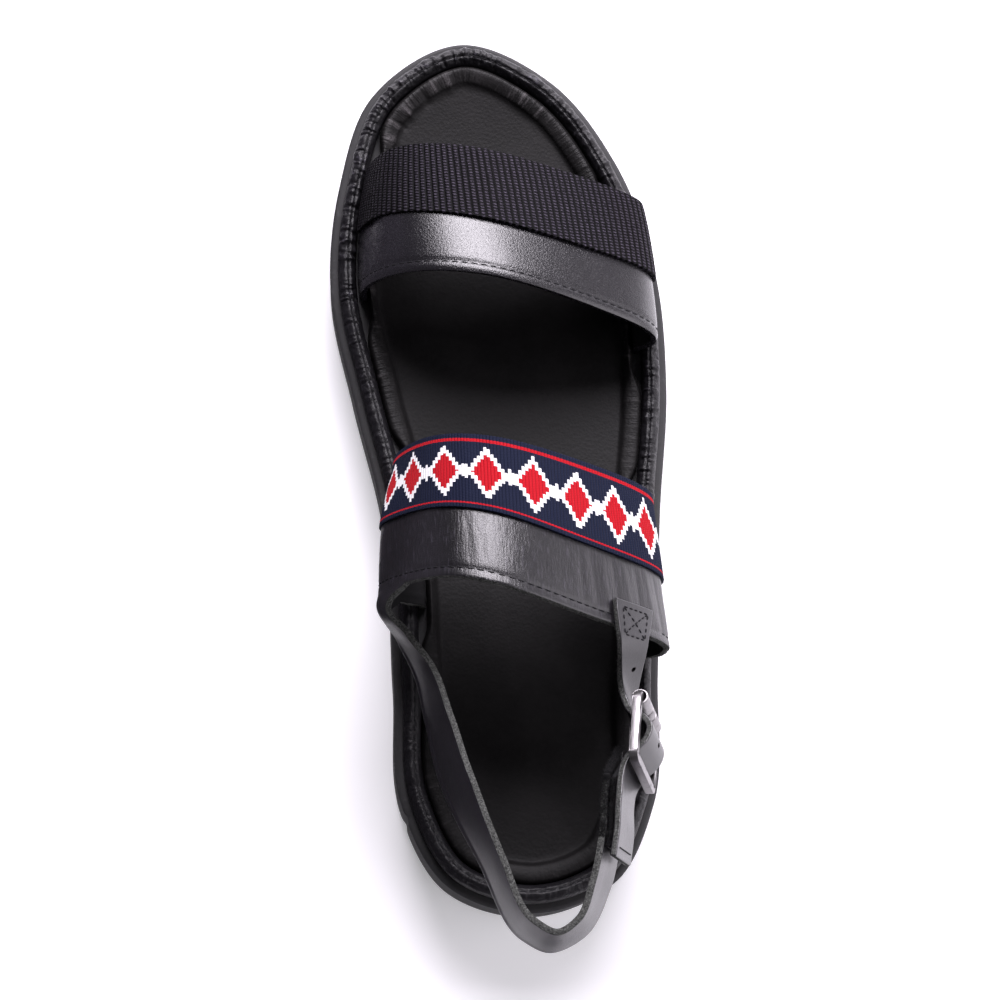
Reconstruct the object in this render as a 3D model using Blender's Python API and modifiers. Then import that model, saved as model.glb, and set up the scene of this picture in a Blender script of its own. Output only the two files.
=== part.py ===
"""Two-band leather sandal with a heel strap and a buckle, right foot.

Metres, +Z up, +Y towards the toe, +X to the outer (lateral) side of the foot.
The origin is at the middle of the footprint, on the floor.
"""
from math import cos, pi, radians, sin

import bmesh
import bpy
import numpy as np
from mathutils import Matrix, Vector

NAME = "strap_sandal"

# Driving sizes
SOLE_LENGTH = 0.2913
GAP = 0.0003
STRAP_WALL = 0.0024
WEBBING_WALL = 0.0018
RIBBON_WALL = 0.0013
HOOK_TAPE_WALL = 0.0014
FOOTPRINT_MIDDLE = (-0.00255, 0.13838)

# Rim of the footbed, as distances in from the edge of the sole
LEDGE = 0.0028
SLOT_OUTER = 0.0085
SLOT_MIDDLE = 0.0101
BED_EDGE = 0.0089
BED_EDGE_AT_STRAP = 0.0118
SLOT_EASE = 0.004
MOUTH_DROP = 0.0008

# Lip and cup of the insole, down from the rim's top and in from the cut-back edge
LIP_DROP = 0.0034
LIP_ROUND = 0.0008
LIP_CROWN = 0.0022
LIP_WIDTH = 0.0022
LIP_INNER_DROP = 0.0026
CUP_WIDTH = 0.0070
CUP_EASE = 0.0006
FLOOR_SHARES = (0.85, 0.60, 0.30)
BED_SHARES = (0.85, 0.60, 0.35)

# Sides of the rubber and of the rim, going up and over: distance in from the edge,
# height column that the ring follows, and how far above it
TREAD_EDGE = 0.0032
OUTSOLE_SIDE_ROWS = (
    (TREAD_EDGE, "ground", 0.0),
    (0.0012, "ground", 0.0014),
    (0.0005, "ground", 0.0040),
    (0.0004, "rubber", -0.0032),
    (0.0000, "rubber", -0.0022),
    (0.0002, "rubber", -0.0008),
    (0.0012, "rubber", 0.0),
)
RIM_ROWS = (
    (LEDGE + 0.0004, "rubber", GAP),
    (LEDGE, "rubber", 0.0010),
    (LEDGE, "rim", -0.0034),
    (LEDGE + 0.0008, "rim", -0.0014),
    (LEDGE + 0.0022, "rim", -0.0003),
    (LEDGE + 0.0036, "rim", -0.0003),
    (SLOT_OUTER - 0.0008, "rim", -0.0016),
    (SLOT_OUTER, "rim", -0.0034),
    (SLOT_OUTER, "rubber", GAP),
)

# Buckle
BUCKLE_MIDDLE = (0.0362, 0.0478, 0.0622)
BUCKLE_RUN = (-0.125, -0.936, 0.330)
BUCKLE_DROP = (0.312, -0.352, -0.882)
BUCKLE_LENGTH = 0.0236
BUCKLE_WIDTH = 0.0256
BUCKLE_BAR = 0.0026
BUCKLE_CORNER = 0.0030
ROLLER_WALL = 0.0006
ROLLER_RADIUS = 0.0024
ROLLER_SEAM = radians(24)
EYE_WIDTH = 0.0036

# Mesh fineness
EDGE_SAMPLES = 720
EDGE_SIDES = 80
BAND_STEPS = 5
ARCH_STEPS = 12
STRIP_STEPS = 22
STRAP_STEPS = 3
HEEL_STRAP_STEPS = 52
BUCKLE_STRAP_STEPS = 66
TAPE_STEPS = 14
SLEEVE_STEPS = 14

# Edge of the sole seen from above, clockwise from the back of the heel, as x, y
EDGE_ROWS = (
    (0.0060, 0.0000),
    (-0.0220, 0.0085),
    (-0.0360, 0.0335),
    (-0.0382, 0.0720),
    (-0.0414, 0.1275),
    (-0.0508, 0.1690),
    (-0.0578, 0.2040),
    (-0.0549, 0.2415),
    (-0.0440, 0.2728),
    (-0.0135, 0.2913),
    (0.0170, 0.2784),
    (0.0387, 0.2500),
    (0.0507, 0.2120),
    (0.0529, 0.1720),
    (0.0489, 0.1275),
    (0.0462, 0.0740),
    (0.0434, 0.0330),
    (0.0315, 0.0100),
)
TOE_ROW = 9

# Heights along the sole: underside, top of the rubber, top of the rim, footbed
HEIGHT_COLUMNS = ("share", "ground", "rubber", "rim", "bed")
HEIGHT_ROWS = (
    (0.00, 0.0010, 0.0265, 0.0328, 0.0290),
    (0.08, 0.0000, 0.0262, 0.0325, 0.0280),
    (0.25, 0.0000, 0.0255, 0.0318, 0.0274),
    (0.42, 0.0035, 0.0232, 0.0294, 0.0252),
    (0.58, 0.0000, 0.0198, 0.0260, 0.0217),
    (0.78, 0.0000, 0.0182, 0.0242, 0.0200),
    (0.90, 0.0030, 0.0196, 0.0254, 0.0214),
    (1.00, 0.0085, 0.0232, 0.0288, 0.0252),
)

# Bands over the foot, from front edge to back edge: places along the foot where they
# enter the inner and the outer slot, how far they bow towards the toe between them,
# the ridge, and how far each side swells out over the rim
BAND_COLUMNS = ("share", "inner_y", "outer_y", "bow", "ridge_x", "ridge_z", "inner_swell", "outer_swell")
TOE_BAND_ROWS = (
    (0.0, 0.2450, 0.2300, 0.0030, -0.0190, 0.0510, -0.0010, 0.0106),
    (0.5, 0.2228, 0.2050, 0.0005, -0.0170, 0.0575, -0.0015, 0.0084),
    (1.0, 0.2005, 0.1835, 0.0032, -0.0150, 0.0622, 0.0010, 0.0080),
)
INSTEP_BAND_ROWS = (
    (0.0, 0.1415, 0.1292, 0.0012, -0.0160, 0.0770, 0.0030, 0.0065),
    (0.53, 0.1182, 0.1008, 0.0000, -0.0160, 0.0850, 0.0120, 0.0105),
    (1.0, 0.0965, 0.0785, -0.0006, -0.0160, 0.0903, 0.0145, 0.0132),
)
SEAM_SHARE_TOE = 0.5
SEAM_SHARE_INSTEP = 0.53
INNER_SHOULDER = 0.95
OUTER_SHOULDER = 1.15
SWELL_PEAK = 6.75
STRIP_END = 1 / 24

# Heel strap behind the neck: lower edge x, y, z and upper edge x, y, z of each section
HEEL_STRAP_ROWS = (
    (-0.0362, 0.0840, 0.0375, -0.0345, 0.0835, 0.0530),
    (-0.0310, 0.0725, 0.0410, -0.0276, 0.0725, 0.0585),
    (-0.0280, 0.0570, 0.0460, -0.0225, 0.0560, 0.0665),
    (-0.0238, 0.0370, 0.0520, -0.0168, 0.0365, 0.0735),
    (-0.0125, 0.0125, 0.0570, -0.0085, 0.0120, 0.0790),
    (-0.0010, -0.0098, 0.0600, 0.0003, -0.0065, 0.0820),
    (0.0063, -0.0135, 0.0608, 0.0063, -0.0100, 0.0830),
    (0.0160, -0.0095, 0.0606, 0.0128, -0.0062, 0.0820),
    (0.0240, 0.0040, 0.0600, 0.0178, 0.0055, 0.0800),
    (0.0275, 0.0180, 0.0580, 0.0210, 0.0190, 0.0770),
    (0.0284, 0.0320, 0.0552, 0.0227, 0.0330, 0.0735),
    (0.0300, 0.0480, 0.0520, 0.0255, 0.0490, 0.0700),
)

# Where straps lie sewn on the instep band: share of its width, places of lower and upper edge
NECK_ROWS = (
    (0.62, 0.055, 0.155),
    (0.80, 0.055, 0.155),
    (1.00, 0.055, 0.155),
)
TAB_ROWS = (
    (0.84, 0.820, 0.753),
    (0.92, 0.815, 0.753),
    (1.00, 0.809, 0.754),
)
NECK_BURIAL = 0.66

# Buckle strap: its run behind the sewn tab, its way through the buckle as distance along the
# buckle and lift from its plane, and its lap on the heel strap as stations of the heel strap's rows
BUCKLE_STRAP_WIDTH = 0.0172
TAB_RUN_OUT = 0.0035
THREAD_ROWS = (
    (-0.0106, -0.0048),
    (-0.0071, -0.0031),
    (-0.0048, 0.0008),
    (-0.0012, 0.0034),
    (0.0028, 0.0026),
    (0.0056, 0.0004),
    (0.0080, -0.0022),
    (0.0106, -0.0036),
)
LAP_STATIONS = (9.75, 9.2, 8.55)
TAPE_STATIONS = (10.8, 10.3, 9.7, 9.1, 8.75)
TAPE_EDGE = 0.08

# Colours and finishes
BLACK_LEATHER = (0.020, 0.019, 0.021)
RIM_LEATHER = (0.026, 0.025, 0.027)
INSOLE_LEATHER = (0.024, 0.022, 0.022)
RUBBER = (0.035, 0.036, 0.036)
BLACK_WEBBING = (0.012, 0.012, 0.013)
NAVY_BRAID = (0.020, 0.028, 0.075)
HOOK_BLACK = (0.010, 0.010, 0.010)
GUNMETAL = (0.34, 0.33, 0.32)


def clear_scene():
    for item in list(bpy.data.objects):
        bpy.data.objects.remove(item, do_unlink=True)


def collection(name):
    made = bpy.data.collections.new(name)
    bpy.context.scene.collection.children.link(made)
    return made


def material(name, colour, roughness, metallic=0.0):
    made = bpy.data.materials.new(name)
    made.use_nodes = True
    shader = made.node_tree.nodes["Principled BSDF"]
    shader.inputs["Base Color"].default_value = (*colour, 1.0)
    shader.inputs["Roughness"].default_value = roughness
    shader.inputs["Metallic"].default_value = metallic
    return made


def smooth(stations, values, at, period=None):
    """Cubic curve through rows of values, read at places between the stations."""
    stations = np.asarray(stations, float)
    values = np.asarray(values, float)
    if period:
        stations = np.concatenate([stations[-2:] - period, stations, stations[:2] + period])
        values = np.concatenate([values[-2:], values, values[:2]])
    slopes = np.gradient(values, stations, axis=0)
    at = np.atleast_1d(np.asarray(at, float))
    left = np.clip(np.searchsorted(stations, at, side="right") - 1, 0, len(stations) - 2)
    run = stations[left + 1] - stations[left]
    part = (at - stations[left]) / run
    if values.ndim > 1:
        run = run[:, None]
        part = part[:, None]
    return (
        values[left] * (2 * part**3 - 3 * part**2 + 1)
        + slopes[left] * run * (part**3 - 2 * part**2 + part)
        + values[left + 1] * (3 * part**2 - 2 * part**3)
        + slopes[left + 1] * run * (part**3 - part**2)
    )


def sole_edge():
    """Even points round the edge of the sole, their inward normals and the toe's index."""
    rows = np.array(EDGE_ROWS)
    steps = np.linalg.norm(np.roll(rows, -1, axis=0) - rows, axis=1)
    stations = np.concatenate([[0.0], np.cumsum(steps)])
    around = np.linspace(0.0, stations[-1], EDGE_SAMPLES, endpoint=False)
    points = smooth(stations[:-1], rows, around, period=stations[-1])
    ahead = np.roll(points, -1, axis=0) - np.roll(points, 1, axis=0)
    ahead /= np.linalg.norm(ahead, axis=1)[:, None]
    inward = np.stack([ahead[:, 1], -ahead[:, 0]], axis=1)
    return points, inward, int(round(EDGE_SAMPLES * stations[TOE_ROW] / stations[-1]))


EDGE, INWARD, TOE_INDEX = sole_edge()


def height(column, y):
    rows = np.array(HEIGHT_ROWS)
    share = np.clip(np.asarray(y, float) / SOLE_LENGTH, 0.0, 1.0)
    return np.maximum(smooth(rows[:, 0], rows[:, HEIGHT_COLUMNS.index(column)], share), 0.0)


def edge_x(side, y, inset):
    """Across-foot place of the inset edge at y, on the inner (-1) or outer (+1) side."""
    curve = EDGE + INWARD * inset
    half = curve[: TOE_INDEX + 1] if side < 0 else np.concatenate([curve[TOE_INDEX:], curve[:1]])[::-1]
    return np.interp(y, half[:, 1], half[:, 0])


def edge_ring(inset):
    """Plan points of the edge moved in by one distance or by one for each side of the ring."""
    pick = np.arange(EDGE_SIDES) * (EDGE_SAMPLES // EDGE_SIDES)
    inset = np.broadcast_to(inset, EDGE_SIDES)
    return EDGE[pick] + INWARD[pick] * inset[:, None]


def shrunk_ring(ring, keep):
    """Plan ring drawn in towards the middle line of the sole."""
    middle = SOLE_LENGTH / 2
    y = middle + (ring[:, 1] - middle) * keep
    old_line = (edge_x(-1, ring[:, 1], LEDGE) + edge_x(1, ring[:, 1], LEDGE)) / 2
    new_line = (edge_x(-1, y, LEDGE) + edge_x(1, y, LEDGE)) / 2
    return np.stack([new_line + (ring[:, 0] - old_line) * keep, y], axis=1)


def raised(ring, column, lift=0.0):
    return np.column_stack([ring, height(column, ring[:, 1]) + lift])


def link(name, mesh, look, group):
    made = bpy.data.objects.new(name, mesh)
    made.data.materials.append(look)
    group.objects.link(made)
    return made


def rungs(work, ring):
    """Close a ring with strips straight across it, from its first corner to the one opposite."""
    count = len(ring)
    half = count // 2
    work.faces.new((ring[0], ring[1], ring[-1]))
    for i in range(1, half - 1):
        work.faces.new((ring[i], ring[i + 1], ring[count - i - 1], ring[count - i]))
    work.faces.new((ring[half - 1], ring[half], ring[half + 1]))


def skin(name, rings, look, group, around=True, along=False, capped=False):
    """Closed or open surface through rows of points with equal counts."""
    rings = np.asarray(rings)
    work = bmesh.new()
    rows = [[work.verts.new(point) for point in ring] for ring in rings]
    ring_count = len(rows)
    point_count = len(rows[0])
    for i in range(ring_count if along else ring_count - 1):
        here = rows[i]
        there = rows[(i + 1) % ring_count]
        for j in range(point_count if around else point_count - 1):
            k = (j + 1) % point_count
            work.faces.new((here[j], here[k], there[k], there[j]))
    if capped:
        rungs(work, rows[0])
        rungs(work, rows[-1])
    bmesh.ops.recalc_face_normals(work, faces=work.faces)
    if work.calc_volume(signed=True) < 0:
        bmesh.ops.reverse_faces(work, faces=work.faces)
    mesh = bpy.data.meshes.new(name)
    work.to_mesh(mesh)
    work.free()
    mesh.shade_smooth()
    return link(name, mesh, look, group)


def solidify(item, wall):
    made = item.modifiers.new("wall", "SOLIDIFY")
    made.thickness = wall
    made.offset = 0.0
    made.use_even_offset = True
    return made


def floor_rings(column, lift=0.0):
    """Rings of the middle of the sole, drawn in from the slot towards the middle line."""
    slot = edge_ring(SLOT_MIDDLE)
    return [raised(shrunk_ring(slot, keep), column, lift) for keep in FLOOR_SHARES]


def outsole(look, group):
    """Rubber sole: flat heel and forefoot, raised waist, toe spring and a rounded ledge."""
    tread = edge_ring(TREAD_EDGE)
    under = [raised(shrunk_ring(tread, keep), "ground") for keep in FLOOR_SHARES]
    side = [raised(edge_ring(inset), column, lift) for inset, column, lift in OUTSOLE_SIDE_ROWS]
    top = [raised(edge_ring(SLOT_MIDDLE), "rubber"), *floor_rings("rubber")]
    return skin("outsole", under[::-1] + side + top, look, group, capped=True)


def footbed_rim(look, group):
    """Leather-wrapped roll that stands on the ledge all round the footbed."""
    rings = [raised(edge_ring(inset), column, lift) for inset, column, lift in RIM_ROWS]
    return skin("footbed_rim", rings, look, group, along=True)


def slot_window():
    """One where a band enters the footbed beside each side of the ring, easing to zero."""
    plan = edge_ring(SLOT_MIDDLE)
    inner = np.arange(EDGE_SIDES) * (EDGE_SAMPLES // EDGE_SIDES) <= TOE_INDEX
    window = np.zeros(EDGE_SIDES)
    for rows in (TOE_BAND_ROWS, INSTEP_BAND_ROWS):
        table = np.array(rows)
        for side, column in ((inner, "inner_y"), (~inner, "outer_y")):
            span = table[:, BAND_COLUMNS.index(column)]
            reach = np.maximum(plan[:, 1] - span.max(), span.min() - plan[:, 1]) - SLOT_EASE
            inside = np.clip(1.0 - reach / SLOT_EASE, 0.0, 1.0)
            window = np.maximum(window, np.where(side, inside, 0.0))
    return window


def insole(look, group):
    """Cupped footbed inside the rim, cut back where the bands go down."""
    edge = BED_EDGE + (BED_EDGE_AT_STRAP - BED_EDGE) * slot_window()
    under = [*floor_rings("rubber", GAP)[::-1], raised(edge_ring(edge), "rubber", GAP)]
    lip = [
        raised(edge_ring(edge), "rim", -LIP_DROP),
        raised(edge_ring(edge + LIP_ROUND), "rim", -LIP_CROWN),
        raised(edge_ring(BED_EDGE_AT_STRAP + LIP_WIDTH), "rim", -LIP_INNER_DROP),
    ]
    cup = edge_ring(BED_EDGE_AT_STRAP + CUP_WIDTH)
    bed = [raised(cup, "bed", CUP_EASE), *(raised(shrunk_ring(cup, keep), "bed") for keep in BED_SHARES)]
    return skin("insole", under + lip + bed, look, group, capped=True)


def band_line(rows, share):
    """Section of a band at a share of its width, as named values."""
    table = np.array(rows)
    values = smooth(table[:, 0], table[:, 1:], share)[0]
    return dict(zip(BAND_COLUMNS[1:], values))


def half_arch(line, side, angles):
    """Points from the slot (angle 0) up to the ridge (a right angle) on one side."""
    inner_x = edge_x(-1, line["inner_y"], SLOT_MIDDLE)
    outer_x = edge_x(1, line["outer_y"], SLOT_MIDDLE)
    base_x, base_y, swell, shoulder = (
        (inner_x, line["inner_y"], line["inner_swell"], INNER_SHOULDER)
        if side < 0
        else (outer_x, line["outer_y"], line["outer_swell"], OUTER_SHOULDER)
    )
    base_z = height("rim", base_y)[0] - MOUTH_DROP
    climb = np.sin(angles) ** shoulder
    away = np.cos(angles) ** shoulder
    x = line["ridge_x"] + (base_x - line["ridge_x"]) * away
    across = (x - inner_x) / (outer_x - inner_x)
    y = line["inner_y"] + (line["outer_y"] - line["inner_y"]) * across
    y += line["bow"] * 4 * across * (1 - across)
    z = base_z + (line["ridge_z"] - base_z) * climb
    bulge = SWELL_PEAK * climb * (1 - climb) ** 2 * swell
    return np.column_stack([x + side * bulge, y, z])


def tail(line, side, levels):
    """Points straight down into the slot, from its mouth to the rubber."""
    base_y = line["inner_y"] if side < 0 else line["outer_y"]
    base_x = edge_x(side, base_y, SLOT_MIDDLE)
    top = height("rim", base_y)[0] - MOUTH_DROP
    floor = height("rubber", base_y)[0] + GAP
    return np.array([[base_x, base_y, floor + (top - floor) * level] for level in levels])


def band_section(rows, share, steps):
    """Whole section of a band, from the inner slot's floor over the foot to the outer one."""
    line = band_line(rows, share)
    angles = np.linspace(0.0, pi / 2, steps + 1)
    return np.concatenate([
        tail(line, -1, (0.0, 0.55)),
        half_arch(line, -1, angles),
        half_arch(line, 1, angles[::-1])[1:],
        tail(line, 1, (0.55, 0.0)),
    ])


def band_point(rows, place, share, lift=0.0):
    """Point on a band at a place from inner mouth (0) over the ridge (0.5) to outer mouth (1)."""
    side = -1 if place < 0.5 else 1
    angle = np.array([pi / 2 * (1 - abs(2 * place - 1))])
    step = 0.002

    def at(turn, across):
        return half_arch(band_line(rows, across), side, np.clip(turn, 0.0, pi / 2))[0]

    along = (at(angle + step, share) - at(angle - step, share)) * -side
    back = at(angle, min(share + step, 1.0)) - at(angle, max(share - step, 0.0))
    outward = np.cross(back, along)
    outward /= np.linalg.norm(outward)
    return at(angle, share) + outward * lift


def foot_band(name, rows, look, group):
    """Leather band: the mid surface through its sections, thickened to its wall."""
    shares = np.linspace(0.0, 1.0, BAND_STEPS + 1)
    item = skin(name, [band_section(rows, share, ARCH_STEPS) for share in shares], look, group, around=False)
    solidify(item, STRAP_WALL)
    return item


def overlay(name, rows, seam_share, wall, look, group):
    """Strip sewn on the outer face of a band, from its front edge to the seam."""
    lift = STRAP_WALL / 2 + GAP + wall / 2
    shares = np.linspace(0.0, seam_share, STRAP_STEPS + 1)
    places = np.linspace(STRIP_END, 1 - STRIP_END, STRIP_STEPS + 1)
    grid = [[band_point(rows, place, share, lift) for place in places] for share in shares]
    item = skin(name, grid, look, group, around=False)
    solidify(item, wall)
    return item


def flat_section(low, top):
    """Straight section of a strap: lower edge, middle and upper edge."""
    low = np.asarray(low, float)
    top = np.asarray(top, float)
    return np.array([low, (low + top) / 2, top])


def strap_grid(sections, steps_across, steps_along):
    """Even grid through sections given as lower edge, middle and upper edge."""
    sections = np.asarray(sections)
    lengths = np.linalg.norm(np.diff(sections[:, 1], axis=0), axis=1)
    stations = np.concatenate([[0.0], np.cumsum(lengths)])
    even = np.linspace(0.0, stations[-1], steps_along + 1)
    rows = smooth(stations, sections.reshape(-1, 9), even).reshape(-1, 3, 3)
    across = np.linspace(0.0, 1.0, steps_across + 1)[:, None]
    low_part = (1 - across) * (1 - 2 * across)
    middle_part = 4 * across * (1 - across)
    top_part = across * (2 * across - 1)
    return [low * low_part + middle * middle_part + top * top_part for low, middle, top in rows]


def sewn_sections(rows, lift):
    """Sections of a strap where it lies sewn on the instep band, following its curve."""
    return [
        np.array([band_point(INSTEP_BAND_ROWS, place, share, lift) for place in (low, (low + top) / 2, top)])
        for share, low, top in rows
    ]


def heel_strap(look, group):
    """Strap from the inner back corner of the instep band, through a neck, round the heel."""
    free = [flat_section(row[:3], row[3:]) for row in HEEL_STRAP_ROWS]
    sections = sewn_sections(NECK_ROWS, STRAP_WALL * NECK_BURIAL) + free
    item = skin("heel_strap", strap_grid(sections, STRAP_STEPS, HEEL_STRAP_STEPS), look, group, around=False)
    solidify(item, STRAP_WALL)
    return item


def buckle_axes():
    """Matrix of the buckle: X along the strap to the back, Y down across it, Z outwards."""
    run = Vector(BUCKLE_RUN).normalized()
    drop = Vector(BUCKLE_DROP)
    drop = (drop - run * drop.dot(run)).normalized()
    turn = Matrix((run, drop, run.cross(drop))).transposed().to_4x4()
    return Matrix.Translation(BUCKLE_MIDDLE) @ turn


def threaded_section(along, lift):
    """Section of the buckle strap at a place along the buckle, lifted from the frame's plane."""
    axes = buckle_axes()
    half = BUCKLE_STRAP_WIDTH / 2
    return flat_section(axes @ Vector((along, half, lift)), axes @ Vector((along, -half, lift)))


def lapped_section(station, lift, edge=0.0):
    """Section on the outer face of the heel strap, at a station of its rows."""
    rows = np.array(HEEL_STRAP_ROWS)
    before, here, after = smooth(np.arange(len(rows)), rows, [station - 0.1, station, station + 0.1])
    along = (after - before)[:3] + (after - before)[3:]
    rise = here[3:] - here[:3]
    outward = np.cross(along, rise)
    outward *= lift / np.linalg.norm(outward)
    return flat_section(here[:3] + rise * edge + outward, here[3:] - rise * edge + outward)


def buckle_strap(look, group):
    """Strap from its sewn tab, under the front bar, out through the frame, under the back bar."""
    sewn = sewn_sections(TAB_ROWS, STRAP_WALL + GAP)
    backward = sewn[-1] - sewn[-2]
    run_out = [sewn[-1] + backward * TAB_RUN_OUT / np.linalg.norm(backward[1])]
    threaded = [threaded_section(along, lift) for along, lift in THREAD_ROWS]
    lap = STRAP_WALL + HOOK_TAPE_WALL + 3 * GAP
    lapped = [lapped_section(station, lap) for station in LAP_STATIONS]
    sections = sewn + run_out + threaded + lapped
    grid = strap_grid(sections, STRAP_STEPS, BUCKLE_STRAP_STEPS)
    item = skin("buckle_strap", grid, look, group, around=False)
    solidify(item, STRAP_WALL)
    return item


def hook_tape(look, group):
    """Hook-and-loop tape between the heel strap and the end of the buckle strap."""
    lift = (STRAP_WALL + HOOK_TAPE_WALL) / 2 + GAP
    sections = [lapped_section(station, lift, TAPE_EDGE) for station in TAPE_STATIONS]
    item = skin("hook_tape", strap_grid(sections, STRAP_STEPS, TAPE_STEPS), look, group, around=False)
    solidify(item, HOOK_TAPE_WALL)
    return item


def rounded_rectangle(length, width, corner, steps):
    """Plan points of a rectangle with round corners."""
    points = []
    for quarter in range(4):
        mid_x = (length / 2 - corner) * (1 if quarter in (0, 3) else -1)
        mid_y = (width / 2 - corner) * (1 if quarter in (0, 1) else -1)
        for step in range(steps + 1):
            angle = pi / 2 * (quarter + step / steps)
            points.append((mid_x + corner * cos(angle), mid_y + corner * sin(angle)))
    return np.array(points)


def buckle_frame(look, group):
    """Rectangular frame with round corners and a soft square bar."""
    half = BUCKLE_BAR / 2
    ease = half * 0.45
    section = rounded_rectangle(BUCKLE_BAR, BUCKLE_BAR, ease, 1)
    rings = []
    for inward, rise in section:
        plan = rounded_rectangle(
            BUCKLE_LENGTH - 2 * half - 2 * inward,
            BUCKLE_WIDTH - 2 * half - 2 * inward,
            BUCKLE_CORNER - inward,
            4,
        )
        rings.append(np.column_stack([plan, np.full(len(plan), rise)]))
    return skin("buckle_frame", rings, look, group, along=True)


def front_bar_sleeve(name, start, end, look, group):
    """Rolled sleeve with an open seam, round the front bar between two places across it."""
    bar_x = -(BUCKLE_LENGTH - BUCKLE_BAR) / 2
    turns = np.linspace(ROLLER_SEAM, 2 * pi - ROLLER_SEAM, SLEEVE_STEPS + 1) - pi / 2
    grid = [
        [(bar_x + ROLLER_RADIUS * cos(turn), across, ROLLER_RADIUS * sin(turn)) for turn in turns]
        for across in (start, end)
    ]
    item = skin(name, grid, look, group, around=False)
    solidify(item, ROLLER_WALL)
    return item


def main():
    clear_scene()
    group = collection(NAME)
    helpers = collection(NAME + "_helpers")
    leather = material("black_leather", BLACK_LEATHER, 0.38)
    rim_leather = material("rim_leather", RIM_LEATHER, 0.42)
    insole_leather = material("insole_leather", INSOLE_LEATHER, 0.60)
    rubber = material("dark_rubber", RUBBER, 0.72)
    webbing = material("black_webbing", BLACK_WEBBING, 0.85)
    braid = material("navy_braid", NAVY_BRAID, 0.80)
    hook = material("hook_tape", HOOK_BLACK, 0.95)
    metal = material("gunmetal", GUNMETAL, 0.36, 1.0)

    outsole(rubber, group)
    footbed_rim(rim_leather, group)
    insole(insole_leather, group)
    foot_band("toe_strap", TOE_BAND_ROWS, leather, group)
    instep = foot_band("instep_heel_strap", INSTEP_BAND_ROWS, leather, group)
    heel = heel_strap(leather, helpers)
    heel.hide_render = True
    heel.display_type = "WIRE"
    join = instep.modifiers.new("neck", "BOOLEAN")
    join.operation = "UNION"
    join.object = heel

    overlay("toe_webbing", TOE_BAND_ROWS, SEAM_SHARE_TOE, WEBBING_WALL, webbing, group)
    overlay("instep_ribbon", INSTEP_BAND_ROWS, SEAM_SHARE_INSTEP, RIBBON_WALL, braid, group)
    buckle_strap(leather, group)
    hook_tape(hook, group)

    axes = buckle_axes()
    reach = BUCKLE_WIDTH / 2 - BUCKLE_CORNER
    eye = EYE_WIDTH / 2
    pieces = [
        buckle_frame(metal, group),
        front_bar_sleeve("buckle_roller_upper", -reach, -eye - GAP, metal, group),
        front_bar_sleeve("buckle_eye", -eye, eye, metal, group),
        front_bar_sleeve("buckle_roller_lower", eye + GAP, reach, metal, group),
    ]
    for piece in pieces:
        piece.matrix_world = axes

    centre = Matrix.Translation((-FOOTPRINT_MIDDLE[0], -FOOTPRINT_MIDDLE[1], 0.0))
    for item in [*group.objects, *helpers.objects]:
        item.matrix_world = centre @ item.matrix_world


main()
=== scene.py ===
"""Two-band leather sandal with a heel strap and a buckle, right foot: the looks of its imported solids.

Metres, +Z up, +Y towards the toe, +X to the outer (lateral) side of the foot, as in the frame.
The tables of the sole, the bands and the straps are those of the part's source, which measures
from the back end of the sole. ORIGIN takes their points to the frame. Straps and tapes are a little
thinner than their solids, and the ends of the heel strap and the hook tape are cut on the slant.
"""

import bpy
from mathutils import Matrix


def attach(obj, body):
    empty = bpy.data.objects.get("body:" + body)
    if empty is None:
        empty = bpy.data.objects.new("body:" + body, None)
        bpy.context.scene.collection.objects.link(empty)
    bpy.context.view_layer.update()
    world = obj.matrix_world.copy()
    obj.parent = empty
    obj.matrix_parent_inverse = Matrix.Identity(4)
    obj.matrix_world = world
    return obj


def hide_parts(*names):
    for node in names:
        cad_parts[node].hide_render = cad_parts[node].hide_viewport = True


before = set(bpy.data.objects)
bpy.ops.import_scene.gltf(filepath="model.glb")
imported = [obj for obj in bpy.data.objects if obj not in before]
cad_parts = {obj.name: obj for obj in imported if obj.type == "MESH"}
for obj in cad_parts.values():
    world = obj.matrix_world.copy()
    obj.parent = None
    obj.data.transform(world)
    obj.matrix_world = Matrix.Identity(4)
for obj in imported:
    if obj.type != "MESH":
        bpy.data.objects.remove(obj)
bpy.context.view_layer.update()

from math import cos, pi, radians, sin

import bmesh
import bpy
import numpy as np
from bpy.props import FloatProperty, FloatVectorProperty, PointerProperty
from mathutils import Matrix, Vector, noise

bl_info = {
    "name": "Strap Sandal",
    "version": (1, 0, 0),
    "blender": (4, 5, 0),
    "location": "3D View > Sidebar > Sandal",
    "description": "Dresses the solids of a strap sandal in leather, webbing, braid, rubber and metal",
    "category": "Add Mesh",
}

ORIGIN = np.array([0.00255, -0.13838, 0.0])
SURFACE = "surface"

# Sole: its length, the clearance between pieces, the ledge round the rim, the slots of the bands and
# how far their mouths lie below the rim, and the edge of the tread
SOLE_LENGTH = 0.2913
GAP = 0.0003
LEDGE = 0.0028
SLOT_OUTER = 0.0085
SLOT_MIDDLE = 0.0101
SLOT_EASE = 0.004
SLOT_RUN_OUT = 0.012
MOUTH_DROP = 0.0008
TREAD_EDGE = 0.0032

# Footbed: its edge, also where a band goes down beside it, and its lip, measured from the rim
BED_EDGE = 0.0089
BED_EDGE_AT_STRAP = 0.0118
LIP_DROP = 0.0034
LIP_ROUND = 0.0008
LIP_CROWN = 0.0022
LIP_WIDTH = 0.0022
LIP_INNER_DROP = 0.0026

# Straps and tapes: their walls, the gap under what is sewn on, how far their corners are eased, and
# the flat edge of the webbing
STRAP_WALL = 0.0020
HOOK_TAPE_WALL = 0.0014
SEWN_GAP = 0.00005
TOE_EASE = 0.0007
STRAP_EASE = 0.0005
WEBBING_EASE = 0.0004
WEBBING_SELVEDGE = 0.0012
TAPE_EASE = 0.0003

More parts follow.
